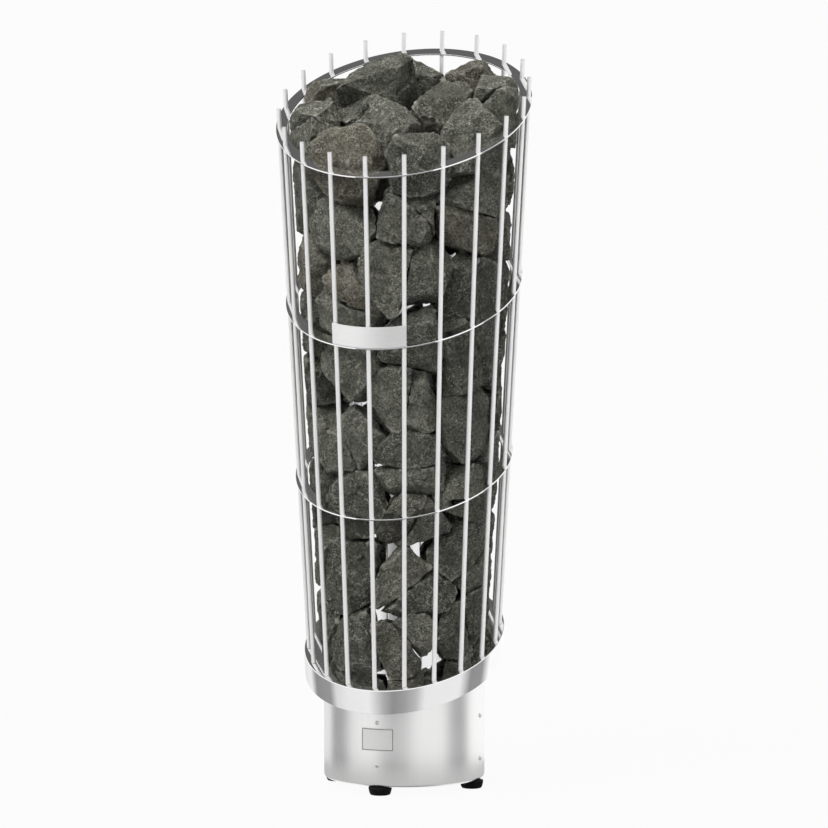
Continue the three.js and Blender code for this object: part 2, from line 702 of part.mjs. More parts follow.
const stackAngle = FULL_TURN / STONE_STACKS;
const stones = [];
for (let stack = 0; stack < STONE_STACKS; stack += 1) {
  const middle = (stack + 0.5) * stackAngle;
  const stackHeight = CAGE_HEIGHT + STONE_RISE + STONE_LEVELLING * Math.cos(middle);
  const rows = Math.round(stackHeight / STONE_SIZE) - (stack % 2);
  for (let row = 0; row < rows; row += 1) {
    const angle = middle + jitter(ANGLE_SCATTER_SHARE);
    const height = FLOOR_HEIGHT + ((row + 0.5 + jitter(ROW_SCATTER_SHARE)) * stackHeight) / rows;
    const inner = tubeReach(angle) + CLEARANCE;
    const room = cageRadius(height) - HOOP_INNER_MARGIN - STONE_CLEARANCE - inner;
    const centre = onSlope(angle, inner + room / 2, height);
    const size = STONE_SIZE * (1 + jitter(STONE_SPREAD_SHARE));
    const leastEdge = Math.min(STONE_LEAST_EDGE, STONE_EDGE_SHARE * room);
    if (room > STONE_LEAST_ROOM) {
      stones.push({ group: `stone_stack_${stack + 1}`, facing: middle, centre, size, leastEdge });
    }
  }
}

// The heap has four stones on the lid, five round the top and a crown stone.
const heapGroup = "stone_heap";
const heapLid = TUBE_TOP + HEAP_SEATING_SHARE * STONE_SIZE;
const heapRound = TOP_HOOP_HEIGHT - HEAP_ROUND_DROP;
const heapCrown = TOP_HOOP_HEIGHT + HEAP_CROWN_RISE;
const heapMiddle = new THREE.Vector3(0, 0, (heapLid + heapRound) / 2);
const crownAngle = THREE.MathUtils.degToRad(HEAP_CROWN_ANGLE_DEG);
const crownSize = HEAP_CROWN_SIZE_SHARE * STONE_SIZE;
const heapRows = [
  { count: 4, start: 0, share: HEAP_LID_SHARE, height: heapLid, size: STONE_SIZE },
  { count: 5, start: 0, share: HEAP_ROUND_SHARE, height: heapRound, size: STONE_SIZE },
  { count: 1, start: crownAngle, share: HEAP_CROWN_SHARE, height: heapCrown, size: crownSize },
];
heapRows.forEach(({ count, start, share, height, size }) => {
  for (let index = 0; index < count; index += 1) {
    const angle = start + (index / count) * FULL_TURN + jitter(ANGLE_SCATTER_SHARE);
    const radius = share * TUBE_RADIUS + jitter(HEAP_SCATTER);
    const centre = around(angle, radius, height + jitter(HEAP_SCATTER));
    stones.push({ group: heapGroup, facing: angle, centre, size, leastEdge: STONE_LEAST_EDGE });
  }
});

function randomDirection() {
  const height = jitter(1);
  const angle = random() * FULL_TURN;
  const flat = Math.sqrt(1 - height * height);
  return new THREE.Vector3(flat * Math.cos(angle), flat * Math.sin(angle), height);
}

// Two stones meet where the balls of their sizes cross, so three meet in one line.
function jointBetween(stone, other) {
  const apart = stone.centre.distanceTo(other.centre);
  const surplus = STONE_CUT_SHARE ** 2 * (stone.size ** 2 - other.size ** 2);
  return stone.centre.clone().lerp(other.centre, (1 + surplus / apart ** 2) / 2);
}

// A face keeps the points p with normal.p at most reach.
function neighbourFaces(stone) {
  return stones
    .filter((other) => other !== stone)
    .filter((other) => other.centre.distanceTo(stone.centre) < 3 * STONE_REACH_SHARE * STONE_SIZE)
    .map((other) => {
      const normal = other.centre.clone().sub(stone.centre).normalize();
      return { normal, reach: normal.dot(jointBetween(stone, other)) - STONE_GAP / 2 };
    });
}

// The small round patch where a stone touches the nearest of the given ones
function contactWith(stone, others) {
  const apart = (other) => other.centre.distanceTo(stone.centre);
  const nearest = others.reduce((best, other) => (apart(other) < apart(best) ? other : best));
  const along = nearest.centre.clone().sub(stone.centre).setLength(STONE_CONTACT_DEPTH);
  const joint = jointBetween(stone, nearest);
  const start = joint.clone().sub(along);
  return barBetween(start, joint.add(along), STONE_CONTACT_RADIUS, HOLE_SIDES);
}

// Broken faces: one towards the cage, one on top, the rest anywhere, or outside on the heap. They
// spare the joints.
function breakFaces(stone) {
  const tilted = (normal) => normal.addScaledVector(randomDirection(), STONE_TILT_SHARE).normalize();
  const outward = tilted(around(stone.facing, 1, 0));
  const upward = tilted(new THREE.Vector3(0, -SIN_SLOPE, COS_SLOPE));
  const outside = stone.centre.clone().sub(heapMiddle).normalize();
  const anywhere = Array.from({ length: STONE_CUTS }, () => {
    const normal = randomDirection();
    return stone.group === heapGroup ? normal.add(outside).normalize() : normal;
  });
  const joints = stones
    .filter((other) => other !== stone && other.group === stone.group)
    .map((other) => jointBetween(stone, other))
    .filter((joint) => joint.distanceTo(stone.centre) < STONE_REACH_SHARE * stone.size);
  return [outward, upward, ...anywhere].map((normal) => {
    const depth = stone.size * (STONE_CUT_SHARE + jitter(STONE_CUT_SPREAD_SHARE));
    const least = joints.map((joint) => normal.dot(joint) + STONE_JOINT_SHARE * stone.size);
    return { normal, reach: Math.max(normal.dot(stone.centre) + depth, ...least) };
  });
}

// What holds the stones: the floor, the hoops all round, the tube or its lid
function boundaryFaces(stone) {
  const downhill = new THREE.Vector3(0, TAN_SLOPE, -1);
  const faces = [{ normal: downhill, reach: -FLOOR_HEIGHT - CLEARANCE / COS_SLOPE }];
  const wall = CAGE_FLOOR_RADIUS - HOOP_INNER_MARGIN - STONE_CLEARANCE;
  for (let turn = -2; turn <= 2; turn += 1) {
    const angle = stone.facing + (turn * stackAngle) / 3;
    const ahead = CAGE_FLARE * TAN_SLOPE - Math.cos(angle) / COS_SLOPE;
    const normal = new THREE.Vector3(Math.sin(angle), ahead, -CAGE_FLARE);
    faces.push({ normal, reach: wall - CAGE_FLARE * FLOOR_HEIGHT });
  }
  if (stone.group === heapGroup) {
    faces.push({ normal: new THREE.Vector3(0, 0, -1), reach: -TUBE_TOP - CLEARANCE });
  } else {
    const inward = new THREE.Vector3(-stone.centre.x, -stone.centre.y, 0).normalize();
    faces.push({ normal: inward, reach: -TUBE_RADIUS - CLEARANCE });
  }
  ["x", "y", "z"].forEach((axis) => {
    const normal = new THREE.Vector3();
    normal[axis] = 1;
    const reach = STONE_REACH_SHARE * stone.size;
    faces.push({ normal, reach: stone.centre[axis] + reach });
    faces.push({ normal: normal.clone().negate(), reach: reach - stone.centre[axis] });
  });
  return faces;
}

// The corners where three faces meet and no other face cuts them off
function cornersOf(faces, leastEdge) {
  const corners = [];
  const tolerance = 1e-6;
  for (let a = 0; a < faces.length; a += 1) {
    for (let b = a + 1; b < faces.length; b += 1) {
      for (let c = b + 1; c < faces.length; c += 1) {
        const across = faces[b].normal.clone().cross(faces[c].normal);
        const spread = faces[a].normal.dot(across);
        if (Math.abs(spread) < tolerance) continue;
        const corner = across
          .multiplyScalar(faces[a].reach)
          .add(faces[c].normal.clone().cross(faces[a].normal).multiplyScalar(faces[b].reach))
          .add(faces[a].normal.clone().cross(faces[b].normal).multiplyScalar(faces[c].reach))
          .divideScalar(spread);
        const kept = faces.every(({ normal, reach }) => normal.dot(corner) <= reach + tolerance);
        const isNew = corners.every((known) => known.distanceTo(corner) > leastEdge);
        if (kept && isNew) corners.push(corner);
      }
    }
  }
  return corners;
}

const stoneGroups = Map.groupBy(stones, (stone) => stone.group);
stoneGroups.forEach((members, name) => {
  const whole = members.reduce((rest, stone, index) => {
    const faces = [...neighbourFaces(stone), ...breakFaces(stone), ...boundaryFaces(stone)];
    const solid = solidOf(new ConvexGeometry(cornersOf(faces, stone.leastEdge)));
    if (index === 0) return solid;
    const contact = contactWith(stone, members.slice(0, index));
    return rest.add(solid).add(solidOf(contact));
  }, null);
  addMesh(name, geometryOf(whole), STONE);
});

export default heater;
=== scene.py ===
# Tower sauna heater: a flaring cage of steel rods, filled with stones, on a round base with
# levelling feet. Metres, +Z up, front towards -Y.
import collections
import itertools
import math
import random

import bmesh
import bpy
import numpy as np
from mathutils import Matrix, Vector, noise


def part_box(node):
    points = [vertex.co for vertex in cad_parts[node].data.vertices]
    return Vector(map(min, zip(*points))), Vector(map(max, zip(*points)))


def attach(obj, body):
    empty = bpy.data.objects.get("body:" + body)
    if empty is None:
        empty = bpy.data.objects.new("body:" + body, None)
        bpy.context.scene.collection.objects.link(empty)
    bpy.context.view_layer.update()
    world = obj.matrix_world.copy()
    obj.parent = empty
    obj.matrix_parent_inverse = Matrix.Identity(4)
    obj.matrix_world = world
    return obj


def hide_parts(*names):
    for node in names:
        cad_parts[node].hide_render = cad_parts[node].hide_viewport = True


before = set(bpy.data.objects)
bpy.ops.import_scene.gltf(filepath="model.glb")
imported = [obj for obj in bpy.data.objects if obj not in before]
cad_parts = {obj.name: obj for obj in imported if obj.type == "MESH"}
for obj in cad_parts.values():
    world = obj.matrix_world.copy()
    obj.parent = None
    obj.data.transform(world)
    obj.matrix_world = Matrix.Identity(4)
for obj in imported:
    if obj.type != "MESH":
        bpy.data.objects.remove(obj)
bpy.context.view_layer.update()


# Levelling feet: black moulded plastic pads with a rounded sole, and the zinc-plated M8 studs that
# stand in them. The studs screw through the base flange, so each foot can be turned down.
FULL_TURN = 2 * math.pi
QUARTER_TURN = FULL_TURN / 4
SIDE_ANGLES = {
    "front": 0, "right": QUARTER_TURN, "back": 2 * QUARTER_TURN, "left": 3 * QUARTER_TURN,
}
PAD_PROFILE = (
    (0.0010, 0.0000), (0.0117, 0.0000), (0.0125, 0.0002), (0.0131, 0.0009), (0.0137, 0.0019),
    (0.0144, 0.0042), (0.0150, 0.0068), (0.0152, 0.0077), (0.0152, 0.0096), (0.0149, 0.0103),
    (0.0143, 0.0105), (0.0049, 0.0105), (0.0043, 0.0101), (0.0043, 0.0040), (0.0010, 0.0040),
)
PAD_SIDES = 48
THREAD_PITCH = 0.00125
THREAD_DEPTH = 0.00077
THREAD_STEPS = 8
STUD_SIDES = 24
EDGE_ANGLE = math.radians(32)


def around(angle, radius, height):
    """A point at an angle that runs from the front towards the right."""
    return Vector((radius * math.sin(angle), -radius * math.cos(angle), height))


def ring_of(sides, point_at):
    """Points all round, each from its angle."""
    return [point_at(step / sides * FULL_TURN) for step in range(sides)]


def skin(rings, loop=False):
    """Points and faces of a wall through rings of points, looped or capped at both ends."""
    sides = len(rings[0])
    count = len(rings)
    points = [point for ring in rings for point in ring]
    faces = []
    for low in range(count if loop else count - 1):
        high = (low + 1) % count
        for step in range(sides):
            after = (step + 1) % sides
            corners = (low, step), (low, after), (high, after), (high, step)
            faces.append([row * sides + place for row, place in corners])
    if not loop:
        faces.append(list(range(sides)))
        faces.append(list(range((count - 1) * sides, count * sides)))
    return points, faces


def new_object(name, shape, finish=None):
    """A mesh object of the given points and faces, put into the scene."""
    points, faces = shape
    mesh = bpy.data.meshes.new(name)
    mesh.from_pydata([tuple(point) for point in points], [], faces)
    if finish:
        mesh.materials.append(finish)
    thing = bpy.data.objects.new(name, mesh)
    bpy.context.scene.collection.objects.link(thing)
    return thing


def make_piece(name, shape, finish, node, body="heater"):
    """A smooth piece with crisp edges that rides on a body and stands for the named node."""
    piece = new_object(name, shape, finish)
    shell = bmesh.new()
    shell.from_mesh(piece.data)
    bmesh.ops.recalc_face_normals(shell, faces=shell.faces)
    shell.to_mesh(piece.data)
    shell.free()
    piece.data.shade_smooth()
    piece.data.set_sharp_from_angle(angle=EDGE_ANGLE)
    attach(piece, body)
    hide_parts(node)
    return piece


def new_finish(name):
    """A material, its node tree and its shader."""
    finish = bpy.data.materials.new(name)
    finish.use_nodes = True
    return finish, finish.node_tree, finish.node_tree.nodes["Principled BSDF"]


def add_node(tree, kind, inputs, **settings):
    node = tree.nodes.new(kind)
    for setting, value in settings.items():
        setattr(node, setting, value)
    for socket, value in inputs.items():
        if isinstance(value, bpy.types.NodeSocket):
            tree.links.new(value, node.inputs[socket])
        else:
            node.inputs[socket].default_value = value
    return node


def place_on(tree, stretch=(1, 1, 1)):
    """Where a point lies on the object, in metres, drawn out along the axes with low numbers."""
    place = add_node(tree, "ShaderNodeTexCoord", {}).outputs["Object"]
    return add_node(tree, "ShaderNodeMapping", {"Vector": place, "Scale": stretch}).outputs[0]


def grain(place, scale, detail=4, roughness=0.55, distortion=0):
    """Cloudy noise over the object, in the node tree that the place belongs to."""
    inputs = {
        "Vector": place, "Scale": scale, "Detail": detail, "Roughness": roughness,
        "Distortion": distortion,
    }
    return add_node(place.id_data, "ShaderNodeTexNoise", inputs).outputs[0]


def ramp(source, *stops):
    """A colour, or a grey, for each value of the source."""
    node = add_node(source.id_data, "ShaderNodeValToRGB", {0: source})
    elements = node.color_ramp.elements
    elements[0].position = stops[0][0]
    elements[1].position = stops[-1][0]
    for position, _ in stops[1:-1]:
        elements.new(position)
    for element, (_, colour) in zip(elements, stops):
        shade = colour if isinstance(colour, tuple) else (colour,) * 3
        element.color = (*shade, 1)
    return node.outputs[0]


def between(source, low, high, from_low=0.3, from_high=0.7):
    """The source, brought to the range from low to high."""
    inputs = {
        "Value": source, "From Min": from_low, "From Max": from_high, "To Min": low,
        "To Max": high,
    }
    return add_node(source.id_data, "ShaderNodeMapRange", inputs).outputs[0]


def dent(shader, height, strength, distance, under=None):
    """Fine relief on the shader, over another relief if one is given."""
    inputs = {"Height": height, "Strength": strength, "Distance": distance}
    if under:
        inputs["Normal"] = under
    bump = add_node(shader.id_data, "ShaderNodeBump", inputs).outputs[0]
    shader.id_data.links.new(bump, shader.inputs["Normal"])
    return bump


def coat(shader, colour, rough, metal=0):
    """Wires a colour and a roughness to the shader and says how metallic it is."""
    shader.id_data.links.new(colour, shader.inputs["Base Color"])
    shader.id_data.links.new(rough, shader.inputs["Roughness"])
    shader.inputs["Metallic"].default_value = metal


def mottled(name, patches, stops, rough, fine, relief, metal=0, gloss=0.5):
    """A finish whose colour and roughness drift in patches, with a fine relief all over."""
    finish, tree, shader = new_finish(name)
    place = place_on(tree)
    drift = grain(place, *patches)
    coat(shader, ramp(drift, *stops), between(drift, *rough), metal)
    shader.inputs["Specular IOR Level"].default_value = gloss
    dent(shader, grain(place, *fine), *relief)
    return finish


def stud_shape(centre, foot, top, radius):
    """A rod with a thread cut round it and both ends chamfered."""
    rings = []
    steps = round((top - foot) / THREAD_PITCH * THREAD_STEPS)
    for step in range(steps + 1):
        height = foot + (top - foot) * step / steps
        from_end = min(height - foot, top - height)

        def point_at(angle):
            turn = (height / THREAD_PITCH - angle / FULL_TURN) % 1
            cut = THREAD_DEPTH * abs(2 * turn - 1)
            reach = min(radius - cut, radius - THREAD_DEPTH + from_end)
            return centre + around(angle, reach, height)

        rings.append(ring_of(STUD_SIDES, point_at))
    return skin(rings)


black_plastic = mottled(
    "black_moulded_plastic", patches=(220, 6),
    stops=((0.35, (0.0052, 0.0052, 0.0056)), (0.72, (0.014, 0.014, 0.0145))),
    rough=(0.62, 0.78), fine=(2600, 2), relief=(0.25, 0.0002), gloss=0.08,
)
zinc_plate = mottled(
    "zinc_plate", patches=(310, 5), stops=((0.3, (0.72, 0.73, 0.74)), (0.7, (0.86, 0.86, 0.85))),
    rough=(0.4, 0.55), fine=(1900, 2), relief=(0.15, 0.0001), metal=1,
)
for side in SIDE_ANGLES:
    pad_low, pad_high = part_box(f"foot_pad_{side}")
    stud_low, stud_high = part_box(f"foot_stud_{side}")
    foot_axis = Vector(((pad_low.x + pad_high.x) / 2, (pad_low.y + pad_high.y) / 2, 0))
    pad_rings = [
        ring_of(PAD_SIDES, lambda angle: foot_axis + around(angle, radius, height))
        for radius, height in PAD_PROFILE
    ]
    make_piece(
        f"levelling_pad_{side}", skin(pad_rings), black_plastic,
        f"foot_pad_{side}", f"foot_{side}",
    )
    stud_radius = (stud_high.x - stud_low.x) / 2
    make_piece(
        f"threaded_stud_{side}", stud_shape(foot_axis, stud_low.z, stud_high.z, stud_radius),
        zinc_plate, f"foot_stud_{side}", f"foot_{side}",
    )


# Base frame and element plate: a welded ring with four uprights, and the disc that carries the
# heating elements. Both are galvanised sheet with its usual spangle, out of sight in the base.
def galvanised_sheet(name):
    finish, tree, shader = new_finish(name)
    place = place_on(tree)
    cells = add_node(tree, "ShaderNodeTexVoronoi", {"Vector": place, "Scale": 140})
    spangle = add_node(tree, "ShaderNodeSeparateXYZ", {0: cells.outputs["Color"]}).outputs[0]
    cloud = grain(place, 60, 5)
    colour = ramp(spangle, (0.0, (0.36, 0.37, 0.38)), (1.0, (0.56, 0.57, 0.57)))
    coat(shader, colour, between(cloud, 0.32, 0.55), 1)
    dent(shader, spangle, 0.1, 0.0002)
    return finish


def dress_node(node, finish):
    """A CAD node that shows as it is, in its own finish."""
    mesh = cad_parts[node].data
    mesh.materials.clear()
    mesh.materials.append(finish)


galvanised = galvanised_sheet("galvanised_sheet")
dress_node("base_frame", galvanised)
dress_node("element_plate", galvanised)


# Base shell: stainless sheet rolled to a drum, its foot rounded in to a flange and its top cut to
# the slope of the stone floor. The outside is satin, ground upright.
SLOPE = math.radians(25)
SHELL_WALL = 0.0015
SHELL_FILLET = 0.005
SHELL_FLANGE = 0.027
SHELL_TOP_ON_AXIS = 0.19451
FILLET_STEPS = 8
DRUM_SIDES = 128
SATIN_STRETCH = (1, 1, 0.02)


def satin_steel(name, stretch, rough):
    finish, tree, shader = new_finish(name)
    streaks = grain(place_on(tree, stretch), 600, 3, 0.6)
    cloud = grain(place_on(tree), 14, 4)
    colour = ramp(streaks, (0.25, (0.93, 0.93, 0.925)), (0.75, (0.985, 0.985, 0.98)))
    coat(shader, colour, between(cloud, *rough), 1)
    dent(shader, streaks, 0.01, 0.0001)
    return finish


def fillet(centre_radius, centre_height, radius, start, end):
    """An arc of (radius, height) pairs."""
    steps = [start + (end - start) * step / FILLET_STEPS for step in range(FILLET_STEPS + 1)]
    return [
        (centre_radius + radius * math.cos(angle), centre_height + radius * math.sin(angle))
        for angle in steps
    ]


shell_low, shell_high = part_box("base_shell")
base_radius = shell_high.x
base_bottom = shell_low.z
fillet_centre = (base_radius - SHELL_FILLET, base_bottom + SHELL_FILLET)
outer_foot = fillet(*fillet_centre, SHELL_FILLET, -QUARTER_TURN, 0)
inner_foot = fillet(*fillet_centre, SHELL_FILLET - SHELL_WALL, 0, -QUARTER_TURN)


def level_ring(sides, radius, height):
    return ring_of(sides, lambda angle: around(angle, radius, height))


def cut_ring(sides, radius, on_axis):
    """The rim of an upright wall that is cut off at the slope, through a height on the axis."""

    def point_at(angle):
        point = around(angle, radius, on_axis)
        point.z += point.y * math.tan(SLOPE)
        return point

    return ring_of(sides, point_at)


flange_radius = base_radius - SHELL_FLANGE
shell_rings = [
    level_ring(DRUM_SIDES, flange_radius, base_bottom),
    *[level_ring(DRUM_SIDES, *point) for point in outer_foot],
    cut_ring(DRUM_SIDES, base_radius, SHELL_TOP_ON_AXIS),
    cut_ring(DRUM_SIDES, base_radius - SHELL_WALL, SHELL_TOP_ON_AXIS),
    *[level_ring(DRUM_SIDES, *point) for point in inner_foot],
    level_ring(DRUM_SIDES, flange_radius, base_bottom + SHELL_WALL),
]
satin = satin_steel("satin_stainless", SATIN_STRETCH, rough=(0.27, 0.32))
make_piece("base_drum", skin(shell_rings, loop=True), satin, "base_shell")


# Base screws: small zinc-plated screws with domed heads and cross recesses. Two on each side hold
# the shell to an upright of the frame.
HEAD_RADIUS = 0.0028
HEAD_RIM = 0.0005
HEAD_HEIGHT = 0.002
HEAD_MIDDLE_SHARE = 0.02
SHANK_RADIUS = 0.0015
SHANK_LENGTH = 0.0077
SHANK_TIP_RADIUS = 0.0008
SHANK_TIP_LENGTH = 0.0007
RECESS_REACH = 0.0016
RECESS_HALF_WIDTH = 0.00038
RECESS_DEPTH = 0.0011
SCREW_SIDES = 48
HEAD_STEPS = 14
SCREW_HEIGHTS = {"lower": 0.0394, "upper": 0.0959}


def head_height(radius, angle):
    """How high the head stands: a dome with a cross sunk into it."""
    dome = HEAD_RIM + (HEAD_HEIGHT - HEAD_RIM) * math.sqrt(1 - (radius / HEAD_RADIUS) ** 2)
    off_arm = min(abs(radius * math.sin(angle)), abs(radius * math.cos(angle)))
    in_arm = off_arm < RECESS_HALF_WIDTH and radius < RECESS_REACH
    return dome - RECESS_DEPTH if in_arm else dome


def outward_rings(angle, height, profile, sides):
    """Rings of (radius, distance out) pairs round an axis that points out of the base."""
    out = around(angle, 1, 0)
    right = Vector((math.cos(angle), math.sin(angle), 0))
    seat = around(angle, base_radius, height)
    up = Vector((0, 0, 1))

    def point_at(turn, radius, distance):
        across = radius(turn) if callable(radius) else radius
        beyond = distance(turn) if callable(distance) else distance
        return seat + out * beyond + (right * math.sin(turn) + up * math.cos(turn)) * across

    return [
        ring_of(sides, lambda turn: point_at(turn, radius, distance))
        for radius, distance in profile
    ]


head_profile = []
for step in range(HEAD_STEPS + 1):
    head_reach = HEAD_RADIUS * max(1 - step / HEAD_STEPS, HEAD_MIDDLE_SHARE)
    head_profile.append((head_reach, lambda turn, reach=head_reach: head_height(reach, turn)))
screw_profile = [
    (SHANK_TIP_RADIUS, -SHANK_LENGTH),
    (SHANK_RADIUS, -SHANK_LENGTH + SHANK_TIP_LENGTH),
    (SHANK_RADIUS, 0.0),
    (HEAD_RADIUS, 0.0),
    *head_profile,
]
for side, angle in SIDE_ANGLES.items():
    for row, height in SCREW_HEIGHTS.items():
        make_piece(
            f"domed_screw_{side}_{row}",
            skin(outward_rings(angle, height, screw_profile, SCREW_SIDES)), zinc_plate,
            f"base_screw_{side}_{row}",
        )


# Label: a blank foil sticker bent round the base front, between the two screws, with a thin grey
# line printed as a frame near its edge.
LABEL_INNER_RADIUS = 0.1053
LABEL_THICKNESS = 0.0004
LABEL_HALF_WIDTH = 0.022
LABEL_FOOT = 0.0591
LABEL_TOP = 0.0886
LABEL_STEPS = 32
FRAME_LINE_INSET = 0.0011
FRAME_LINE_WIDTH = 0.0005


def bent_sheet(half_angle, steps, section, point_at):
    """A sheet with the given (radius, height) section, swept from left to right round the axis."""
    angles = [half_angle * (2 * step / steps - 1) for step in range(steps + 1)]
    return skin([[point_at(angle, *corner) for corner in section] for angle in angles])


def sheet_section(inner, outer, foot, top, rounding):
    """A sheet's upright section with its outer edges eased."""
    return [
        (inner, foot), (outer - rounding, foot), (outer, foot + rounding),
        (outer, top - rounding), (outer - rounding, top), (inner, top),
    ]


def calc(tree, operation, *values):
    """The result of one step of arithmetic."""
    node = add_node(tree, "ShaderNodeMath", dict(enumerate(values)), operation=operation)
    return node.outputs[0]


def blend(share, first, second):
    """The first colour, giving way to the second as the share rises."""
    inputs = {0: share, 6: first, 7: second}
    return add_node(share.id_data, "ShaderNodeMix", inputs, data_type="RGBA").outputs[2]


def printed_foil(name):
    finish, tree, shader = new_finish(name)
    place = place_on(tree)
    parts = add_node(tree, "ShaderNodeSeparateXYZ", {0: place}).outputs
    half_width = LABEL_INNER_RADIUS * math.sin(LABEL_HALF_WIDTH / LABEL_INNER_RADIUS)
    middle = (LABEL_FOOT + LABEL_TOP) / 2
    across = calc(tree, "ABSOLUTE", parts["X"])
    from_side = calc(tree, "SUBTRACT", half_width, across)
    upright = calc(tree, "ABSOLUTE", calc(tree, "SUBTRACT", parts["Z"], middle))
    from_end = calc(tree, "SUBTRACT", (LABEL_TOP - LABEL_FOOT) / 2, upright)
    inset = calc(tree, "MINIMUM", from_side, from_end)
    on_line = calc(tree, "COMPARE", inset, FRAME_LINE_INSET, FRAME_LINE_WIDTH)
    fibres = grain(place, 900, 4)
    foil = ramp(fibres, (0.3, (0.78, 0.78, 0.77)), (0.7, (0.86, 0.86, 0.85)))
    ink = ramp(fibres, (0.3, 0.17), (0.7, 0.26))
    colour = blend(on_line, foil, ink)
    coat(shader, colour, between(fibres, 0.38, 0.52), 0.6)
    dent(shader, grain(place, 240, 2), 0.08, 0.0002)
    return finish


label_section = sheet_section(
    LABEL_INNER_RADIUS, LABEL_INNER_RADIUS + LABEL_THICKNESS, LABEL_FOOT, LABEL_TOP,
    LABEL_THICKNESS / 3,
)
make_piece(
    "blank_label",
    bent_sheet(LABEL_HALF_WIDTH / LABEL_INNER_RADIUS, LABEL_STEPS, label_section, around),
    printed_foil("label_foil"), "base_label",
)


# Supply: a ribbed plastic cable gland low on the back of the base, closed by its membrane and held
# by a nut inside, and a cream ceramic terminal block on the frame ring.
GLAND_ANGLE = math.radians(215)
GLAND_HEIGHT = 0.045
GLAND_RIBS = 18
GLAND_RIB_DEPTH = 0.0005
GLAND_SIDES = GLAND_RIBS * 8
NUT_SIDES = 6
NUT_RADIUS = 0.0135


def ribbed(radius):
    """A radius that dips between the grips of the cap."""
    return lambda turn: radius - GLAND_RIB_DEPTH * (0.5 - 0.5 * math.cos(GLAND_RIBS * turn)) ** 2


def hexagon(turn):
    """The nut's radius at an angle."""
    flat = math.pi / NUT_SIDES
    return NUT_RADIUS * math.cos(flat) / math.cos((turn % (2 * flat)) - flat)


gland_profile = [
    (0.0010, -0.0078), (0.0085, -0.0078), (hexagon, -0.0076), (hexagon, -0.0029),
    (0.0099, -0.0027), (0.0099, 0.0001), (0.0124, 0.0001), (0.0130, 0.0007), (0.0130, 0.0016),
    (ribbed(0.0130), 0.0022), (ribbed(0.0130), 0.0078), (ribbed(0.0124), 0.0102),
    (0.0112, 0.0134), (0.0104, 0.0158), (0.0096, 0.0163), (0.0082, 0.0163), (0.0076, 0.0157),
    (0.0070, 0.0149), (0.0010, 0.0152),
]
make_piece(
    "ribbed_gland", skin(outward_rings(GLAND_ANGLE, GLAND_HEIGHT, gland_profile, GLAND_SIDES)),
    black_plastic, "cable_gland",
)
fired_ceramic = mottled(
    "fired_ceramic", patches=(130, 6), stops=((0.3, (0.66, 0.61, 0.5)), (0.7, (0.79, 0.75, 0.65))),
    rough=(0.3, 0.5), fine=(2400, 2), relief=(0.2, 0.0001),
)
dress_node("terminal_block", fired_ceramic)


# Stone floor: one polished stainless pressing, a sloping plate with an opening for the tube and a
# skirt that narrows downwards in line with the cage.
FLOOR_ON_AXIS = 0.1965
FLOOR_THICKNESS = 0.001655
FLOOR_EDGE = 0.0012
SKIRT_HEIGHT = 0.032
SKIRT_WALL = 0.0015
SKIRT_EDGE = 0.0003
INSIDE_BEND = 0.001
CAGE_HEIGHT = 0.687
CAGE_FLARE = 0.0377 / CAGE_HEIGHT
FLOOR_SIDES = 160
OPENING_GAP = 0.0003

slope_up = Vector((0, -math.sin(SLOPE), math.cos(SLOPE)))


def on_slope(angle, radius, height, lift=0.0):
    """A point of the sloping plane that crosses the axis at a height, lifted straight up."""
    flat = around(angle, radius, 0)
    rise = flat.y * math.sin(SLOPE)
    return Vector((flat.x, flat.y * math.cos(SLOPE), height + rise + lift))


def polished_steel(name, shades, rough):
    finish, tree, shader = new_finish(name)
    place = place_on(tree)
    cloud = grain(place, 26, 5)
    haze = grain(place, 700, 3)
    colour = ramp(cloud, (0.3, shades[0]), (0.7, shades[1]))
    coat(shader, colour, between(haze, *rough), 1)
    dent(shader, cloud, 0.02, 0.0004)
    return finish


tube_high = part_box("inner_tube")[1]
tube_radius = tube_high.x
tube_top = tube_high.z
floor_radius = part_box("stone_floor")[1].x


def opening_radius(angle, radius):
    """How far the upright tube's wall is from the axis, measured in the sloping plane."""
    return radius / math.hypot(math.sin(angle), math.cos(angle) * math.cos(SLOPE))


def floor_ring(radius, drop):
    return ring_of(FLOOR_SIDES, lambda angle: on_slope(angle, radius, FLOOR_ON_AXIS, -drop))


def opening_ring(drop):
    reach = tube_radius + OPENING_GAP
    return ring_of(
        FLOOR_SIDES,
        lambda angle: on_slope(angle, opening_radius(angle, reach), FLOOR_ON_AXIS, -drop),
    )


edge_steps = fillet(floor_radius - FLOOR_EDGE, -FLOOR_EDGE, FLOOR_EDGE, QUARTER_TURN, 0)
skirt_foot = floor_radius - CAGE_FLARE * SKIRT_HEIGHT
skirt_inside = floor_radius - SKIRT_WALL
floor_rings = [
    opening_ring(0),
    *[floor_ring(radius, -height) for radius, height in edge_steps],
    floor_ring(skirt_foot, SKIRT_HEIGHT - SKIRT_EDGE),
    floor_ring(skirt_foot - SKIRT_EDGE, SKIRT_HEIGHT),
    floor_ring(skirt_foot - SKIRT_WALL, SKIRT_HEIGHT),
    floor_ring(skirt_inside - INSIDE_BEND, FLOOR_THICKNESS + INSIDE_BEND),
    floor_ring(skirt_inside - 2 * INSIDE_BEND, FLOOR_THICKNESS),
    opening_ring(FLOOR_THICKNESS),
]
bright_steel = polished_steel("polished_stainless", shades=(0.95, 0.99), rough=(0.05, 0.09))
make_piece(
    "floor_pressing", skin(floor_rings, loop=True), bright_steel,
    "stone_floor",
)


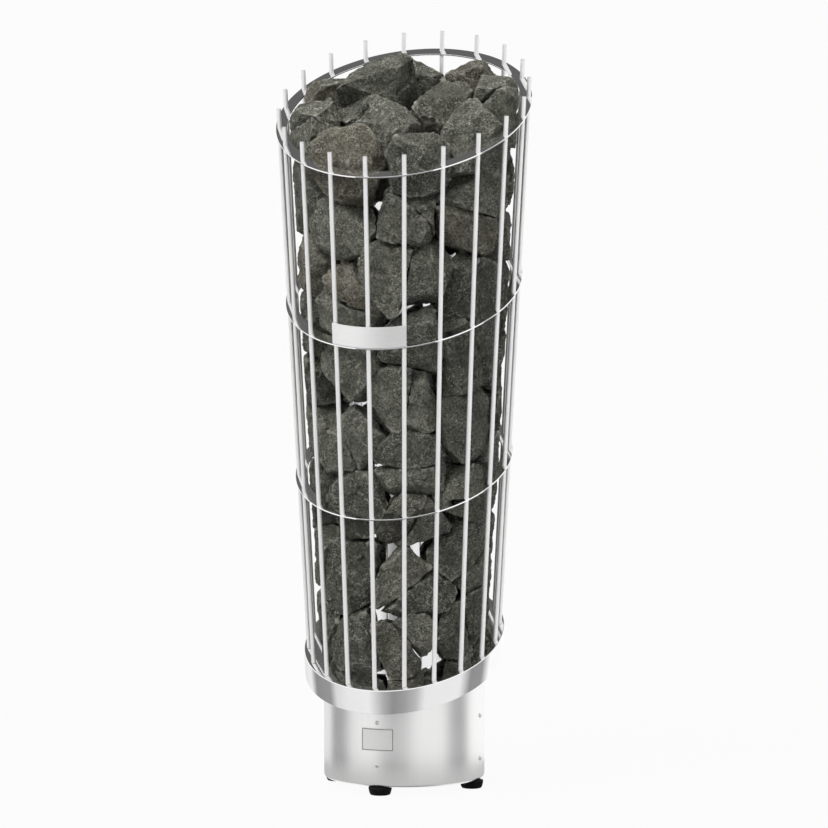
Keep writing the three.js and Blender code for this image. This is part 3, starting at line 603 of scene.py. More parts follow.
# Inner tube: a polished stainless tube that stands up through the floor, with a welded lid on top
# whose six vents let the hot air out into the heap.
TUBE_WALL = 0.0015
TUBE_FOOT_ON_AXIS = 0.184845
TUBE_SIDES = 120
TUBE_EDGE = 0.0006
LID_MIDDLE = 0.001
VENT_COUNT = 6
VENT_RADIUS = 0.009
VENT_CIRCLE = 0.052
VENT_SIDES = 40
DRILL_REACH = 0.01


def joined(shapes):
    """The points and faces of several shapes as one."""
    points = []
    faces = []
    for more_points, more_faces in shapes:
        faces += [[corner + len(points) for corner in face] for face in more_faces]
        points += more_points
    return points, faces


tube_inside = tube_radius - TUBE_WALL
lid_underside = tube_top - TUBE_WALL
tube_rings = [
    level_ring(TUBE_SIDES, LID_MIDDLE, lid_underside),
    level_ring(TUBE_SIDES, tube_inside, lid_underside),
    cut_ring(TUBE_SIDES, tube_inside, TUBE_FOOT_ON_AXIS),
    cut_ring(TUBE_SIDES, tube_radius, TUBE_FOOT_ON_AXIS),
    level_ring(TUBE_SIDES, tube_radius, tube_top - TUBE_EDGE),
    level_ring(TUBE_SIDES, tube_radius - TUBE_EDGE, tube_top),
    level_ring(TUBE_SIDES, LID_MIDDLE, tube_top),
]
inner_tube = make_piece(
    "lidded_tube", skin(tube_rings), bright_steel, "inner_tube"
)
drills = []
for vent in range(VENT_COUNT):
    middle = around(vent / VENT_COUNT * FULL_TURN, VENT_CIRCLE, tube_top)
    drill_rings = [
        ring_of(VENT_SIDES, lambda angle: middle + around(angle, VENT_RADIUS, lift))
        for lift in (-DRILL_REACH, DRILL_REACH)
    ]
    drills.append(skin(drill_rings))
cutter = new_object("vent_cutter", joined(drills))
vents = inner_tube.modifiers.new("vents", "BOOLEAN")
vents.operation = "DIFFERENCE"
vents.solver = "EXACT"
vents.object = cutter
bpy.context.view_layer.update()
drilled = bpy.data.meshes.new_from_object(
    inner_tube.evaluated_get(bpy.context.evaluated_depsgraph_get())
)
inner_tube.modifiers.clear()
inner_tube.data = drilled
bpy.data.objects.remove(cutter)


# Heating elements: three hairpins of round steel tube inside the tube, darkened by heat, their
# tails through the element plate.
ELEMENT_COUNT = 3
ELEMENT_SIDES = 20
ELEMENT_BEND_STEPS = 28
ELEMENT_EDGE = 0.0006


def ring_across(sides, centre, one, two, radius):
    """A ring in the plane of two directions at right angles."""
    return ring_of(
        sides, lambda turn: centre + (one * math.cos(turn) + two * math.sin(turn)) * radius
    )


def swept(path, radius, sides, edge):
    """A round bar along a path, its two ends eased."""
    last = len(path) - 1
    alongs = [
        (path[min(step + 1, last)] - path[max(step - 1, 0)]).normalized()
        for step in range(len(path))
    ]
    side_way = alongs[0].orthogonal().normalized()
    ways = []
    for along in alongs:
        side_way = (side_way - along * side_way.dot(along)).normalized()
        ways.append((side_way, along.cross(side_way)))
    rings = [
        ring_across(sides, path[0], *ways[0], radius - edge),
        ring_across(sides, path[0] + alongs[0] * edge, *ways[0], radius),
    ]
    for point, way in zip(path[1:last], ways[1:last]):
        rings.append(ring_across(sides, point, *way, radius))
    rings.append(ring_across(sides, path[last] - alongs[last] * edge, *ways[last], radius))
    rings.append(ring_across(sides, path[last], *ways[last], radius - edge))
    return skin(rings)


sheath = mottled(
    "heat_scaled_sheath", patches=(90, 7, 0.65),
    stops=((0.3, (0.045, 0.042, 0.042)), (0.52, (0.09, 0.078, 0.07)), (0.75, (0.17, 0.14, 0.12))),
    rough=(0.45, 0.7), fine=(1100, 4), relief=(0.2, 0.0002), metal=0.8,
)
low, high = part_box("heating_element_1")
element_radius = (high.y - low.y) / 2
bend = (high.x - low.x) / 2 - element_radius
element_circle = -(high.y + low.y) / 2
shoulder = high.z - element_radius - bend
for element in range(ELEMENT_COUNT):
    turn = element / ELEMENT_COUNT * FULL_TURN
    right = Vector((math.cos(turn), math.sin(turn), 0))
    seat = around(turn, element_circle, 0)
    path = [seat - right * bend + Vector((0, 0, low.z))]
    for step in range(ELEMENT_BEND_STEPS + 1):
        lean = math.pi * (1 - step / ELEMENT_BEND_STEPS)
        rise = shoulder + bend * math.sin(lean)
        path.append(seat + right * bend * math.cos(lean) + Vector((0, 0, rise)))
    path.append(seat + right * bend + Vector((0, 0, low.z)))
    make_piece(
        f"hairpin_{element + 1}", swept(path, element_radius, ELEMENT_SIDES, ELEMENT_EDGE),
        sheath, f"heating_element_{element + 1}",
    )


# Stones: dark olivine rock, broken by hammer into angular lumps and stacked loose round the tube
# and over its lid. Each lump fills the cell that its neighbours, the floor and the cage leave it.
STONE_SEED = 9
STONE_SIZE = 0.078
STACK_COUNT = 8
STACK_RISE = 0.020
STACK_LEVELLING = 0.018
CAGE_FLOOR_RADIUS = 0.1258
CAGE_WALL_GAP = 0.015
TUBE_GAP = 0.0003
LEAST_ROOM = 0.008
HEAP_SEATING = 0.0351
HEAP_ROUND_DROP = 0.018
HEAP_CROWN_RISE = 0.028
HEAP_SCATTER = 0.005
ANGLE_SCATTER = 0.1
ROW_SCATTER = 0.14
SIZE_SCATTER = 0.15
WORD = 0xFFFFFFFF


def number_source(seed):
    """Even numbers from 0 to 1, the same on every run."""
    state = seed

    def draw():
        nonlocal state
        state = (state + 0x6D2B79F5) & WORD
        mixed = ((state ^ (state >> 15)) * (1 | state)) & WORD
        mixed = ((mixed + (mixed ^ (mixed >> 7)) * (61 | mixed)) ^ mixed) & WORD
        return (mixed ^ (mixed >> 14)) / 2**32

    return draw


draw_number = number_source(STONE_SEED)


def jitter(reach):
    return (2 * draw_number() - 1) * reach


def random_direction():
    height = jitter(1)
    angle = draw_number() * FULL_TURN
    flat = math.sqrt(1 - height * height)
    return Vector((flat * math.cos(angle), flat * math.sin(angle), height))


def cage_radius(height):
    return CAGE_FLOOR_RADIUS + CAGE_FLARE * (height - FLOOR_ON_AXIS)


Stone = collections.namedtuple("Stone", "group facing centre size number")
stones = []
for stack in range(STACK_COUNT):
    middle = (stack + 0.5) / STACK_COUNT * FULL_TURN
    stack_height = CAGE_HEIGHT + STACK_RISE + STACK_LEVELLING * math.cos(middle)
    rows = math.floor(stack_height / STONE_SIZE + 0.5) - stack % 2
    for row in range(rows):
        angle = middle + jitter(ANGLE_SCATTER)
        height = FLOOR_ON_AXIS + (row + 0.5 + jitter(ROW_SCATTER)) * stack_height / rows
        inner = opening_radius(angle, tube_radius) + TUBE_GAP
        room = cage_radius(height) - CAGE_WALL_GAP - inner
        centre = on_slope(angle, inner + room / 2, height)
        size = STONE_SIZE * (1 + jitter(SIZE_SCATTER))
        if room > LEAST_ROOM:
            group = f"stone_stack_{stack + 1}"
            stones.append(Stone(group, middle, centre, size, len(stones)))
top_hoop_height = FLOOR_ON_AXIS + CAGE_HEIGHT
heap_lid = tube_top + HEAP_SEATING
heap_round = top_hoop_height - HEAP_ROUND_DROP
heap_crown = top_hoop_height + HEAP_CROWN_RISE
heap_middle = Vector((0, 0, (heap_lid + heap_round) / 2))
# Stones in a row, angle of the first, share of the tube's radius, height and stone size.
heap_rows = (
    (4, 0, 0.5, heap_lid, STONE_SIZE), (5, 0, 0.7, heap_round, STONE_SIZE),
    (1, math.radians(235), 0.4, heap_crown, 1.1 * STONE_SIZE),
)
for count, start, share, height, size in heap_rows:
    for index in range(count):
        angle = start + index / count * FULL_TURN + jitter(ANGLE_SCATTER)
        radius = share * tube_radius + jitter(HEAP_SCATTER)
        centre = around(angle, radius, height + jitter(HEAP_SCATTER))
        stones.append(Stone("stone_heap", angle, centre, size, len(stones)))

STONE_GAP = 0.0006
CELL_REACH = 0.75
NEIGHBOUR_REACH = 3 * CELL_REACH * STONE_SIZE
CUT_SHARE = 0.53
CUT_SPREAD = 0.08
EASED_CUTS = 1.12
TILT_SHARE = 0.35
JOINT_SHARE = 0.12
JOINT_TILT = 0.6
UNEVENNESS = 2
CELL_BREAKS = 6
WALL_TURNS = range(-2, 3)


def joint_between(stone, other):
    """Where two stones meet: nearer to the smaller one."""
    apart = (other.centre - stone.centre).length
    surplus = UNEVENNESS * CUT_SHARE**2 * (stone.size**2 - other.size**2)
    return stone.centre.lerp(other.centre, (1 + surplus / apart**2) / 2)


def joint_normal(stone, other):
    """The direction from one stone to another, tilted alike for both."""
    first, second = sorted((stone.number, other.number))
    tilt = random.Random(first * len(stones) + second)
    normal = (stones[second].centre - stones[first].centre).normalized()
    normal += Vector([tilt.uniform(-JOINT_TILT, JOINT_TILT) for _ in range(3)])
    return normal.normalized() * (1 if first == stone.number else -1)


def cell_faces(stone):
    """Each flat face of a stone's cell, as a normal and how far along it the stone reaches."""
    group, facing, centre, size, _ = stone
    in_heap = group == "stone_heap"
    faces = []
    for other in stones:
        apart = (other.centre - centre).length
        if other is not stone and apart < NEIGHBOUR_REACH:
            normal = joint_normal(stone, other)
            faces.append((normal, normal.dot(joint_between(stone, other)) - STONE_GAP / 2))
    outward = (around(facing, 1, 0) + TILT_SHARE * random_direction()).normalized()
    upward = (slope_up + TILT_SHARE * random_direction()).normalized()
    breaks = [outward, upward]
    outside = (centre - heap_middle).normalized()
    for _ in range(CELL_BREAKS):
        normal = random_direction()
        breaks.append((normal + outside).normalized() if in_heap else normal)
    joints = [
        joint_between(stone, other)
        for other in stones
        if other is not stone and other.group == group
    ]
    joints = [joint for joint in joints if (joint - centre).length < CELL_REACH * size]
    for normal in breaks:
        depth = size * (CUT_SHARE + jitter(CUT_SPREAD))
        least = [normal.dot(joint) + JOINT_SHARE * size for joint in joints]
        if not in_heap:
            depth *= EASED_CUTS
        faces.append((normal, max(normal.dot(centre) + depth, *least)))
    lift = OPENING_GAP / math.cos(SLOPE)
    faces.append((Vector((0, math.tan(SLOPE), -1)), -FLOOR_ON_AXIS - lift))
    for turn in WALL_TURNS:
        angle = facing + turn * FULL_TURN / STACK_COUNT / 3
        ahead = CAGE_FLARE * math.tan(SLOPE) - math.cos(angle) / math.cos(SLOPE)
        normal = Vector((math.sin(angle), ahead, -CAGE_FLARE))
        faces.append((normal, CAGE_FLOOR_RADIUS - CAGE_WALL_GAP - CAGE_FLARE * FLOOR_ON_AXIS))
    if in_heap:
        faces.append((Vector((0, 0, -1)), -tube_top - TUBE_GAP))
    else:
        inward = Vector((-centre.x, -centre.y, 0)).normalized()
        faces.append((inward, -tube_radius - TUBE_GAP))
    for axis in range(3):
        normal = Vector((0, 0, 0))
        normal[axis] = 1
        faces.append((normal, centre[axis] + CELL_REACH * size))
        faces.append((-normal, CELL_REACH * size - centre[axis]))
    return faces


CHISEL_SEED = 41
SPLIT_SHARE = 0.5
SPLIT_TILT = 0.5
SPLIT_GAP = 0.0008
FACE_BREAKS = 3
FACE_TILT = 1.25
FACE_SHARES = (0.62, 0.9)
EDGE_BREAKS = 2
EDGE_LEANS = (0.45, 1.1)
EDGE_SHARES = (0.66, 0.95)
CHIP_BREAKS = 3
CHIP_SHARES = (0.9, 0.99)
LEAST_SPREAD = 1e-5
REACH_SLACK = 1e-7
LEAST_EDGE = 0.004

chisel = random.Random(CHISEL_SEED)
noise.seed_set(STONE_SEED)


def corners_of(normals, reaches):
    """The corners where three faces meet and no other face cuts them off."""
    triples = np.array(list(itertools.combinations(range(len(normals)), 3)))
    first, second, third = normals[triples].transpose(1, 0, 2)
    across = np.cross(second, third)
    spread = (first * across).sum(1)
    meet = np.abs(spread) > LEAST_SPREAD
    first, second, third, across = first[meet], second[meet], third[meet], across[meet]
    reach = reaches[triples[meet]]
    corners = across * reach[:, :1]
    corners = corners + np.cross(third, first) * reach[:, 1:2]
    corners = corners + np.cross(first, second) * reach[:, 2:]
    corners = corners / spread[meet][:, None]
    corners = corners[(corners @ normals.T <= reaches + REACH_SLACK).all(1)]
    kept = []
    for corner in corners:
        if all(np.linalg.norm(corner - known) > LEAST_EDGE for known in kept):
            kept.append(corner)
    return np.array(kept)


def broken_faces(corners, outward):
    """Fresh breaks: large ones on the outer face, others along its edges and all round."""
    middle = corners.mean(0)
    normals = []
    shares = []
    for _ in range(FACE_BREAKS):
        normals.append(outward + [chisel.uniform(-FACE_TILT, FACE_TILT) for _ in range(3)])
        shares.append(chisel.uniform(*FACE_SHARES))
    for _ in range(EDGE_BREAKS):
        aside = np.cross(outward, [chisel.gauss(0, 1) for _ in range(3)])
        normals.append(chisel.uniform(*EDGE_LEANS) * outward + aside / np.linalg.norm(aside))
        shares.append(chisel.uniform(*EDGE_SHARES))
    for _ in range(CHIP_BREAKS):
        normals.append([chisel.gauss(0, 1) for _ in range(3)])
        shares.append(chisel.uniform(*CHIP_SHARES))
    normals = np.array(normals)
    normals = normals / np.linalg.norm(normals, axis=1)[:, None]
    supports = ((corners - middle) @ normals.T).max(0)
    return normals, normals @ middle + np.array(shares) * supports


FLAT_ANGLE = math.radians(4)
WORN_EDGE = 0.0007
PLACE_DIGITS = 6
LUMP_EDGE = 0.0042
HALVINGS = 6
SKIN_LIFT = 0.003
SWELLS_PER_METRE = 22
SWELL_DEPTH = 0.0016
FLAKES = ((24, 0.0026), (55, 0.0018), (120, 0.0011))
FLAKE_VARIETY = 7.3
FLAKE_LEVEL = 0.4
FLAKE_TILT = 1.1
GRAINS_PER_METRE = 190
GRAIN_OCTAVES = 3
GRAIN_DEPTH = 0.0009


def rough_depth(point):
    """How deep the broken skin lies below the flat faces: swells, tilted flakes and grain."""
    depth = SWELL_DEPTH * (0.5 + 0.5 * noise.noise(point * SWELLS_PER_METRE))
    for per_metre, flake_depth in FLAKES:
        spot = point * per_metre
        seed = noise.voronoi(spot)[1][0]
        tilt = noise.noise_vector(seed * FLAKE_VARIETY)
        level = FLAKE_LEVEL + tilt.x + FLAKE_TILT * (spot - seed).dot(tilt)
        depth += flake_depth * max(0.0, level)
    return depth + GRAIN_DEPTH * noise.turbulence(point * GRAINS_PER_METRE, GRAIN_OCTAVES, False)


def kept_clear(point):
    """The point, moved out of the tube or off the floor where a rough skin would touch them."""
    flat = math.hypot(point.x, point.y)
    if point.z < tube_top + TUBE_GAP and flat < tube_radius + TUBE_GAP:
        if point.z > tube_top - SKIN_LIFT:
            point.z = tube_top + TUBE_GAP
        else:
            point.xy *= (tube_radius + TUBE_GAP) / flat
    point.z = max(point.z, FLOOR_ON_AXIS + OPENING_GAP + point.y * math.tan(SLOPE))
    return point


def put_in_order(lump):
    """Builds the lump anew, points and faces in order of place, so that each run is the same."""
    places = {
        vert: tuple(round(along, PLACE_DIGITS) for along in vert.co) for vert in lump.verts
    }
    points = sorted(set(places.values()))
    ranks = {point: rank for rank, point in enumerate(points)}
    loops = set()
    for face in lump.faces:
        loop = tuple(dict.fromkeys(ranks[places[vert]] for vert in face.verts))
        first = loop.index(min(loop))
        loops.add(loop[first:] + loop[:first])
    lump.clear()
    verts = [lump.verts.new(point) for point in points]
    for loop in sorted(loops):
        if len(loop) > 2:
            lump.faces.new([verts[rank] for rank in loop])


def lump_mesh(corners):
    """The stone between the corners, with worn edges and a rough skin."""
    lump = bmesh.new()
    for corner in corners:
        lump.verts.new(corner)
    hull = bmesh.ops.convex_hull(lump, input=lump.verts[:])
    inside = dict.fromkeys(hull["geom_interior"] + hull["geom_unused"])
    spare = [vert for vert in inside if isinstance(vert, bmesh.types.BMVert)]
    bmesh.ops.delete(lump, geom=spare, context="VERTS")
    bmesh.ops.dissolve_limit(
        lump, angle_limit=FLAT_ANGLE, verts=lump.verts[:], edges=lump.edges[:]
    )
    bmesh.ops.bevel(
        lump, geom=lump.edges[:], offset=WORN_EDGE, segments=1, profile=0.5, affect="EDGES",
        clamp_overlap=True,
    )
    put_in_order(lump)
    bmesh.ops.triangulate(lump, faces=lump.faces[:])
    for _ in range(HALVINGS):
        long = [edge for edge in lump.edges if edge.calc_length() > LUMP_EDGE]
        if not long:
            break
        bmesh.ops.subdivide_edges(lump, edges=long, cuts=1)
        bmesh.ops.triangulate(lump, faces=lump.faces[:])
    lump.normal_update()
    moves = [vert.normal * (SKIN_LIFT - rough_depth(vert.co)) for vert in lump.verts]
    for vert, move in zip(lump.verts, moves):
        vert.co = kept_clear(vert.co + move)
    lump.verts.index_update()
    points = [tuple(vert.co) for vert in lump.verts]
    faces = [[vert.index for vert in face.verts] for face in lump.faces]
    lump.free()
    return points, faces


def lumps_in(stone):
    """The one or two lumps that a stone's cell holds, as points and faces."""
    normals, reaches = map(np.array, zip(*cell_faces(stone)))
    lengths = np.linalg.norm(normals, axis=1)
    normals = normals / lengths[:, None]
    reaches = reaches / lengths
    parts = [(normals, reaches)]
    outward = np.array(around(stone.facing, 1, 0))
    if stone.group == "stone_heap":
        outward = np.array((stone.centre - heap_middle).normalized())
    elif chisel.random() < SPLIT_SHARE:
        middle = corners_of(normals, reaches).mean(0)
        right = np.array((math.cos(stone.facing), math.sin(stone.facing), 0))
        lean = chisel.uniform(0, math.pi)
        split = math.cos(lean) * right + math.sin(lean) * np.array((0, 0, 1))
        tilt = chisel.uniform(-SPLIT_TILT, SPLIT_TILT)
        split = split + np.array(around(stone.facing, tilt, 0))
        split = split / np.linalg.norm(split)
        parts = [
            (np.vstack([normals, side]), np.append(reaches, side @ middle - SPLIT_GAP))
            for side in (split, -split)
        ]
    lumps = []
    for part_normals, part_reaches in parts:
        corners = corners_of(part_normals, part_reaches)
        if len(corners) < 4:
            continue
        more_normals, more_reaches = broken_faces(corners, outward)
        corners = corners_of(
            np.vstack([part_normals, more_normals]), np.append(part_reaches, more_reaches)
        )
        lumps.append(lump_mesh(corners))
    return lumps


def broken_rock(name):
    """Grey-green rock, some of it rusty, with dark flecks and pale specks, scratches, and pale
    edges that are partly wear and partly a painted highlight.
    """
    finish, tree, shader = new_finish(name)
    place = place_on(tree)
    cloud = grain(place, 42, 8, 0.72, 0.3)
    flecks = grain(place, 330, 4, 0.7, 0.4)
    salt = grain(place_on(tree, (1, 0.5, 1.3)), 520, 3, 0.7, 0.6)
    patches = grain(place, 30, 3)
    cracks = add_node(
        tree, "ShaderNodeTexVoronoi", {"Vector": place_on(tree, (1, 0.6, 1.5)), "Scale": 66},
        feature="DISTANCE_TO_EDGE",
    ).outputs["Distance"]
    tint = add_node(tree, "ShaderNodeAttribute", {}, attribute_name="tint").outputs["Fac"]
    rust = add_node(tree, "ShaderNodeAttribute", {}, attribute_name="rust").outputs["Fac"]
    grey = ramp(
        cloud, (0.3, (0.074, 0.075, 0.061)), (0.5, (0.150, 0.152, 0.125)),
        (0.7, (0.260, 0.262, 0.217)),
    )
    brown = ramp(
        cloud, (0.3, (0.088, 0.077, 0.056)), (0.5, (0.176, 0.158, 0.118)),
        (0.7, (0.285, 0.260, 0.204)),
    )
    body = blend(rust, grey, brown)
    bright = between(tint, 0.58, 1.04, 0, 1)
    shade = calc(tree, "MULTIPLY", bright, between(flecks, 0.5, 1.5, 0.38, 0.62))
    toned = add_node(
        tree, "ShaderNodeVectorMath", {0: body, "Scale": shade}, operation="SCALE"
    ).outputs[0]
    specks = ramp(salt, (0.56, 0.0), (0.66, 1.0))
    lines = ramp(cracks, (0.0, 1.0), (0.07, 0.0))
    broken = ramp(flecks, (0.48, 0.0), (0.56, 1.0))
    # Convex edges are painted paler: partly wear, partly a painted highlight standing in for light
    # catching the arrises.
    edge_wear_and_highlight = add_node(tree, "ShaderNodeNewGeometry", {}).outputs["Pointiness"]
    edges = ramp(edge_wear_and_highlight, (0.515, 0.0), (0.565, 0.75))
    shown = ramp(patches, (0.44, 0.14), (0.6, 1.0))
    scratches = calc(tree, "MULTIPLY", lines, broken)
    scattered = calc(tree, "MULTIPLY", calc(tree, "MAXIMUM", specks, scratches), shown)
    # The pale colour covers the specks and scratches and also the painted edge highlight.
    pale_marks_and_highlight = calc(tree, "MAXIMUM", scattered, edges)
    marked_and_highlit = blend(pale_marks_and_highlight, toned, (0.54, 0.54, 0.47, 1))
    coat(shader, marked_and_highlit, between(salt, 0.95, 0.7))
    shader.inputs["Specular IOR Level"].default_value = 0.3
    coarse = dent(shader, grain(place, 130, 8, 0.78), 1.0, 0.0045)
    dent(shader, flecks, 0.7, 0.0012, coarse)
    return finish


RUST_RANGE = (-3.0, 0.8)

rock = broken_rock("broken_rock")
groups = {}
for stone in stones:
    groups.setdefault(stone.group, []).append(stone)
for group, members in groups.items():
    lumps = []
    tints = []
    rusts = []
    for stone in members:
        for lump in lumps_in(stone):
            lumps.append(lump)
            tints += [chisel.random()] * len(lump[0])
            rusts += [max(0.0, chisel.uniform(*RUST_RANGE))] * len(lump[0])
    pile = make_piece(group.replace("stone", "rock"), joined(lumps), rock, group)
    for attribute, values in (("tint", tints), ("rust", rusts)):
        pile.data.attributes.new(attribute, "FLOAT", "POINT").data.foreach_set("value", values)


# Cage rods: twenty ground stainless round bars that stand on the floor pressing, lean outwards and
# end in flat cuts above the top hoop. They are welded to the hoops.
ROD_COUNT = 20
ROD_RADIUS = 0.003
ROD_SIDES = 28
ROD_EDGE = 0.0004
ROD_OVERHANG = 0.026
ROD_GAP = 0.000331


def rod_shape(angle):
    foot = on_slope(angle, cage_radius(FLOOR_ON_AXIS), FLOOR_ON_AXIS)
    head_on_axis = top_hoop_height + ROD_OVERHANG
    head = on_slope(angle, cage_radius(head_on_axis), head_on_axis)
    along = (head - foot).normalized()
    side_way = along.orthogonal().normalized()
    other_way = along.cross(side_way)
    floor_normal = Vector((0, -math.tan(SLOPE), 1))
    floor_level = FLOOR_ON_AXIS + ROD_GAP
    foot_ring = []
    for start in ring_across(ROD_SIDES, foot, side_way, other_way, ROD_RADIUS):
        climb = (floor_level - floor_normal.dot(start)) / floor_normal.dot(along)
        foot_ring.append(start + along * climb)
    shoulder = head - along * ROD_EDGE
    wall_top = ring_across(ROD_SIDES, shoulder, side_way, other_way, ROD_RADIUS)
    end = ring_across(ROD_SIDES, head, side_way, other_way, ROD_RADIUS - ROD_EDGE)
    return skin([foot_ring, wall_top, end])


ground_steel = polished_steel("ground_stainless", shades=(0.97, 1.0), rough=(0.56, 0.64))
for rod in range(ROD_COUNT):
    make_piece(
        f"round_rod_{rod + 1:02d}", rod_shape(rod / ROD_COUNT * FULL_TURN), ground_steel,
        f"cage_rod_{rod + 1:02d}",
    )


# Hoops: three flat rings cut from polished stainless sheet, drilled for the rods and welded to
# them. They lie at the slope of the floor.
HOOP_SPACING = 0.229
HOOP_OUTER_MARGIN = 0.005
HOOP_INNER_MARGIN = 0.010
HOOP_HALF = 0.001
HOOP_EDGE = 0.0003
HOOP_SIDES = 200


def hoop_shape(height):
    radius = cage_radius(height)
    inner = radius - HOOP_INNER_MARGIN
    outer = radius + HOOP_OUTER_MARGIN
    wall = HOOP_HALF - HOOP_EDGE
    section = [
        (inner, -wall), (inner + HOOP_EDGE, -HOOP_HALF), (outer - HOOP_EDGE, -HOOP_HALF),
        (outer, -wall), (outer, wall), (outer - HOOP_EDGE, HOOP_HALF),
        (inner + HOOP_EDGE, HOOP_HALF), (inner, wall),
    ]
    rings = [
        ring_of(HOOP_SIDES, lambda angle: on_slope(angle, reach, height) + slope_up * lift)
        for reach, lift in section
    ]
    return skin(rings, loop=True)


for step, name in enumerate(("lower", "middle", "top")):
    make_piece(
        f"flat_ring_{name}", hoop_shape(FLOOR_ON_AXIS + (step + 1) * HOOP_SPACING), bright_steel,
        f"{name}_hoop",
    )


# Nameplate: a bare strip of satin stainless sheet, ground lengthwise, bent round three rods at the
# front and standing on the middle hoop.
PLATE_HEIGHT = 0.028
PLATE_THICKNESS = 0.0012
PLATE_SIDE = 0.0025
PLATE_STEPS = 40
PLATE_EDGE = 0.0003
PLATE_LIFT = 0.0013
PLATE_OFF_RODS = 0.0033
PLATE_STRETCH = (0.02, 1, 1)

middle_hoop_height = FLOOR_ON_AXIS + 2 * HOOP_SPACING
plate_foot = PLATE_LIFT / math.cos(SLOPE)
plate_inner = cage_radius(middle_hoop_height) + PLATE_OFF_RODS / math.cos(SLOPE)


def plate_point(angle, radius, height):
    flare = 1 + CAGE_FLARE * height / plate_inner
    return on_slope(angle, radius * flare, middle_hoop_height, height)


plate_section = sheet_section(
    plate_inner, plate_inner + PLATE_THICKNESS, plate_foot, plate_foot + PLATE_HEIGHT,
    PLATE_EDGE,
)
plate_half_angle = FULL_TURN / ROD_COUNT + PLATE_SIDE / plate_inner
make_piece(
    "bare_nameplate", bent_sheet(plate_half_angle, PLATE_STEPS, plate_section, plate_point),
    satin_steel("satin_plate", PLATE_STRETCH, rough=(0.34, 0.4)), "nameplate",
)


# Studio: a plain white floor, soft lamps from the upper left and above, and grey screens all round
# with dark cards above, below and on the floor, which only the steel reflects. The camera stands
# high in front, to the right.
FLOOR_REACH = 45
FLOOR_WHITE = 0.95
FLOOR_MATT = (0.32, 0.32, 0.32, 1)
WHITE = (1, 1, 1, 1)
AMBIENT = 0.36
LAMP_DISTANCE = 3
SCREEN_RADIUS = 4.0
SCREEN_FOOT = -1.1
SCREEN_HEAD = 0.45
SCREEN_STEPS = 180
CAMERA_ANGLE = 19.677
SCREEN_SHADES = (
    (-180, 0.75), (-134, 0.85), (-120, 0.27), (-93, 0.31), (-84, 0.7), (-70, 0.82), (-44, 0.85),
    (-28, 0.42), (-18, 0.27), (-6, 0.34), (6, 0.5), (16, 0.82), (58, 0.85), (74, 0.28),
    (94, 0.3), (110, 1.0), (180, 1.0),
)
CAMERA_PLACE = (4.11637, -11.51113, 1.9655)
CAMERA_TURN = (83.1120, 0.0169, 19.6148)
CAMERA_LENS = 409.9
# Middle, outer radius, radius of the hole and shade of each card.
CARDS = {
    "dark_ceiling": ((-0.6, 0.9, 3.1), 1.9, 0.001, 0.12),
    "dark_pit": ((0.3, -1.6, -2.5), 2.4, 0.001, 0.2),
    "floor_sheen": ((0, 0, 0.0005), 0.24, 0.11, 0.5),
}

scene = bpy.context.scene
scene.view_settings.view_transform = "Standard"

world = bpy.data.worlds.new("studio")
scene.world = world
world.use_nodes = True


def seen_directly(tree):
    """1 where the camera, a polished surface or glass looks, 0 for light on a matt surface."""
    path = add_node(tree, "ShaderNodeLightPath", {}).outputs
    either = calc(tree, "MAXIMUM", path["Is Camera Ray"], path["Is Glossy Ray"])
    return calc(tree, "MAXIMUM", either, path["Is Transmission Ray"])


background = world.node_tree.nodes["Background"]
background.inputs["Color"].default_value = WHITE
brightness = between(seen_directly(world.node_tree), AMBIENT, 1, 0, 1)
world.node_tree.links.new(brightness, background.inputs["Strength"])

floor_finish, floor_tree, _ = new_finish("white_floor")
matt = add_node(floor_tree, "ShaderNodeBsdfDiffuse", {"Color": FLOOR_MATT})
glow = add_node(floor_tree, "ShaderNodeEmission", {"Color": WHITE, "Strength": 1})
white_share = between(seen_directly(floor_tree), 0, FLOOR_WHITE, 0, 1)
both = {0: white_share, 1: matt.outputs[0], 2: glow.outputs[0]}
floor_mix = add_node(floor_tree, "ShaderNodeMixShader", both)
floor_tree.links.new(
    floor_mix.outputs[0], floor_tree.nodes["Material Output"].inputs["Surface"]
)
floor_corners = [
    (FLOOR_REACH * x, FLOOR_REACH * y, 0) for x, y in ((-1, -1), (1, -1), (1, 1), (-1, 1))
]
studio_floor = new_object("studio_floor", (floor_corners, [(0, 1, 2, 3)]), floor_finish)
studio_floor.visible_glossy = False


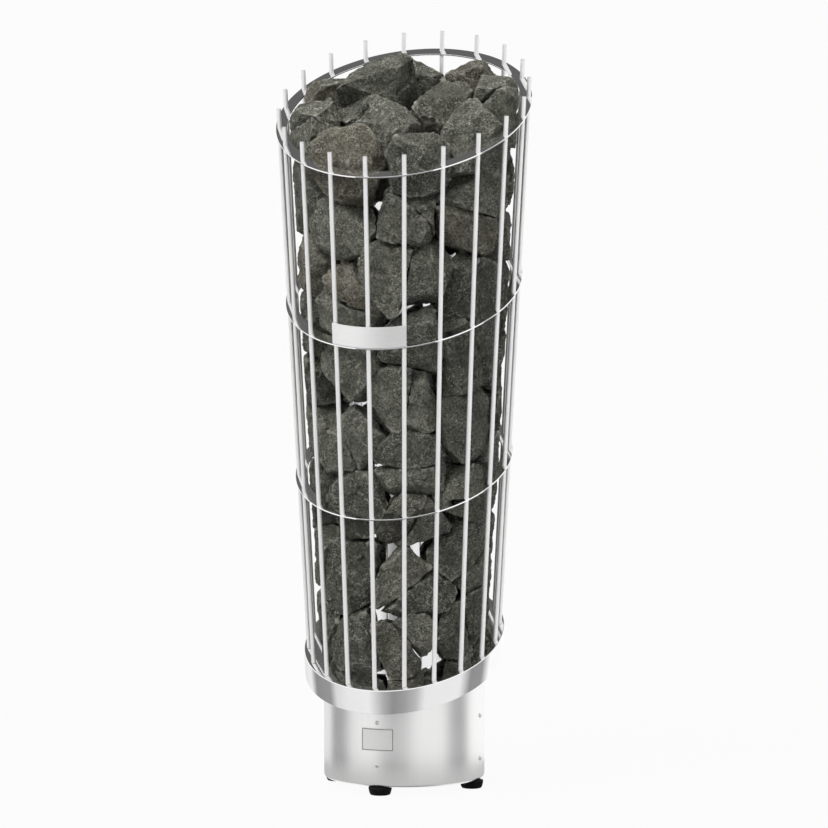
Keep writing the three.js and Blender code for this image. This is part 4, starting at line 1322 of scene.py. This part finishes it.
def add_screen(name, shape, shades):
    """A card in shades of grey that shows only in polished surfaces."""
    finish, tree, _ = new_finish(name)
    shade = add_node(tree, "ShaderNodeAttribute", {}, attribute_name="shade").outputs["Fac"]
    card = add_node(tree, "ShaderNodeEmission", {"Color": WHITE, "Strength": shade})
    tree.links.new(card.outputs[0], tree.nodes["Material Output"].inputs["Surface"])
    screen = new_object(name, shape, finish)
    screen.data.attributes.new("shade", "FLOAT", "POINT").data.foreach_set("value", shades)
    screen.visible_camera = False
    screen.visible_diffuse = False
    screen.visible_transmission = False
    screen.visible_shadow = False


turns = [-180 + 360 * step / SCREEN_STEPS for step in range(SCREEN_STEPS)]
turn_shades = np.interp(turns, *zip(*SCREEN_SHADES))
screen_rims = [
    [around(math.radians(CAMERA_ANGLE + turn), SCREEN_RADIUS, height) for turn in turns]
    for height in (SCREEN_FOOT, SCREEN_HEAD)
]
wall_points, wall_faces = skin(screen_rims)
add_screen("grey_screens", (wall_points, wall_faces[:-2]), [*turn_shades, *turn_shades])
for name, (middle, rim, hole, shade) in CARDS.items():
    card_rims = [
        ring_of(SCREEN_STEPS, lambda angle: Vector(middle) + around(angle, radius, 0))
        for radius in (hole, rim)
    ]
    card_points, card_faces = skin(card_rims)
    add_screen(name, (card_points, card_faces[:-2]), [shade] * len(card_points))


def add_lamp(name, angle, height, spread, strength):
    """A distant soft lamp; the angle runs round the object and the height is above the horizon."""
    lamp = bpy.data.lights.new(name, "SUN")
    lamp.energy = strength
    lamp.angle = math.radians(spread)
    holder = bpy.data.objects.new(name, lamp)
    towards = around(math.radians(angle), math.cos(math.radians(height)), 0)
    towards.z = math.sin(math.radians(height))
    holder.rotation_euler = towards.to_track_quat("Z", "Y").to_euler()
    holder.location = LAMP_DISTANCE * towards
    holder.visible_glossy = False
    scene.collection.objects.link(holder)


add_lamp("key_lamp", angle=-24, height=48, spread=40, strength=1.45)
add_lamp("top_lamp", angle=-60, height=80, spread=70, strength=1.95)

camera_data = bpy.data.cameras.new("camera")
camera_data.lens = CAMERA_LENS
camera = bpy.data.objects.new("camera", camera_data)
camera.location = CAMERA_PLACE
camera.rotation_euler = [math.radians(turn) for turn in CAMERA_TURN]
scene.collection.objects.link(camera)
scene.camera = camera
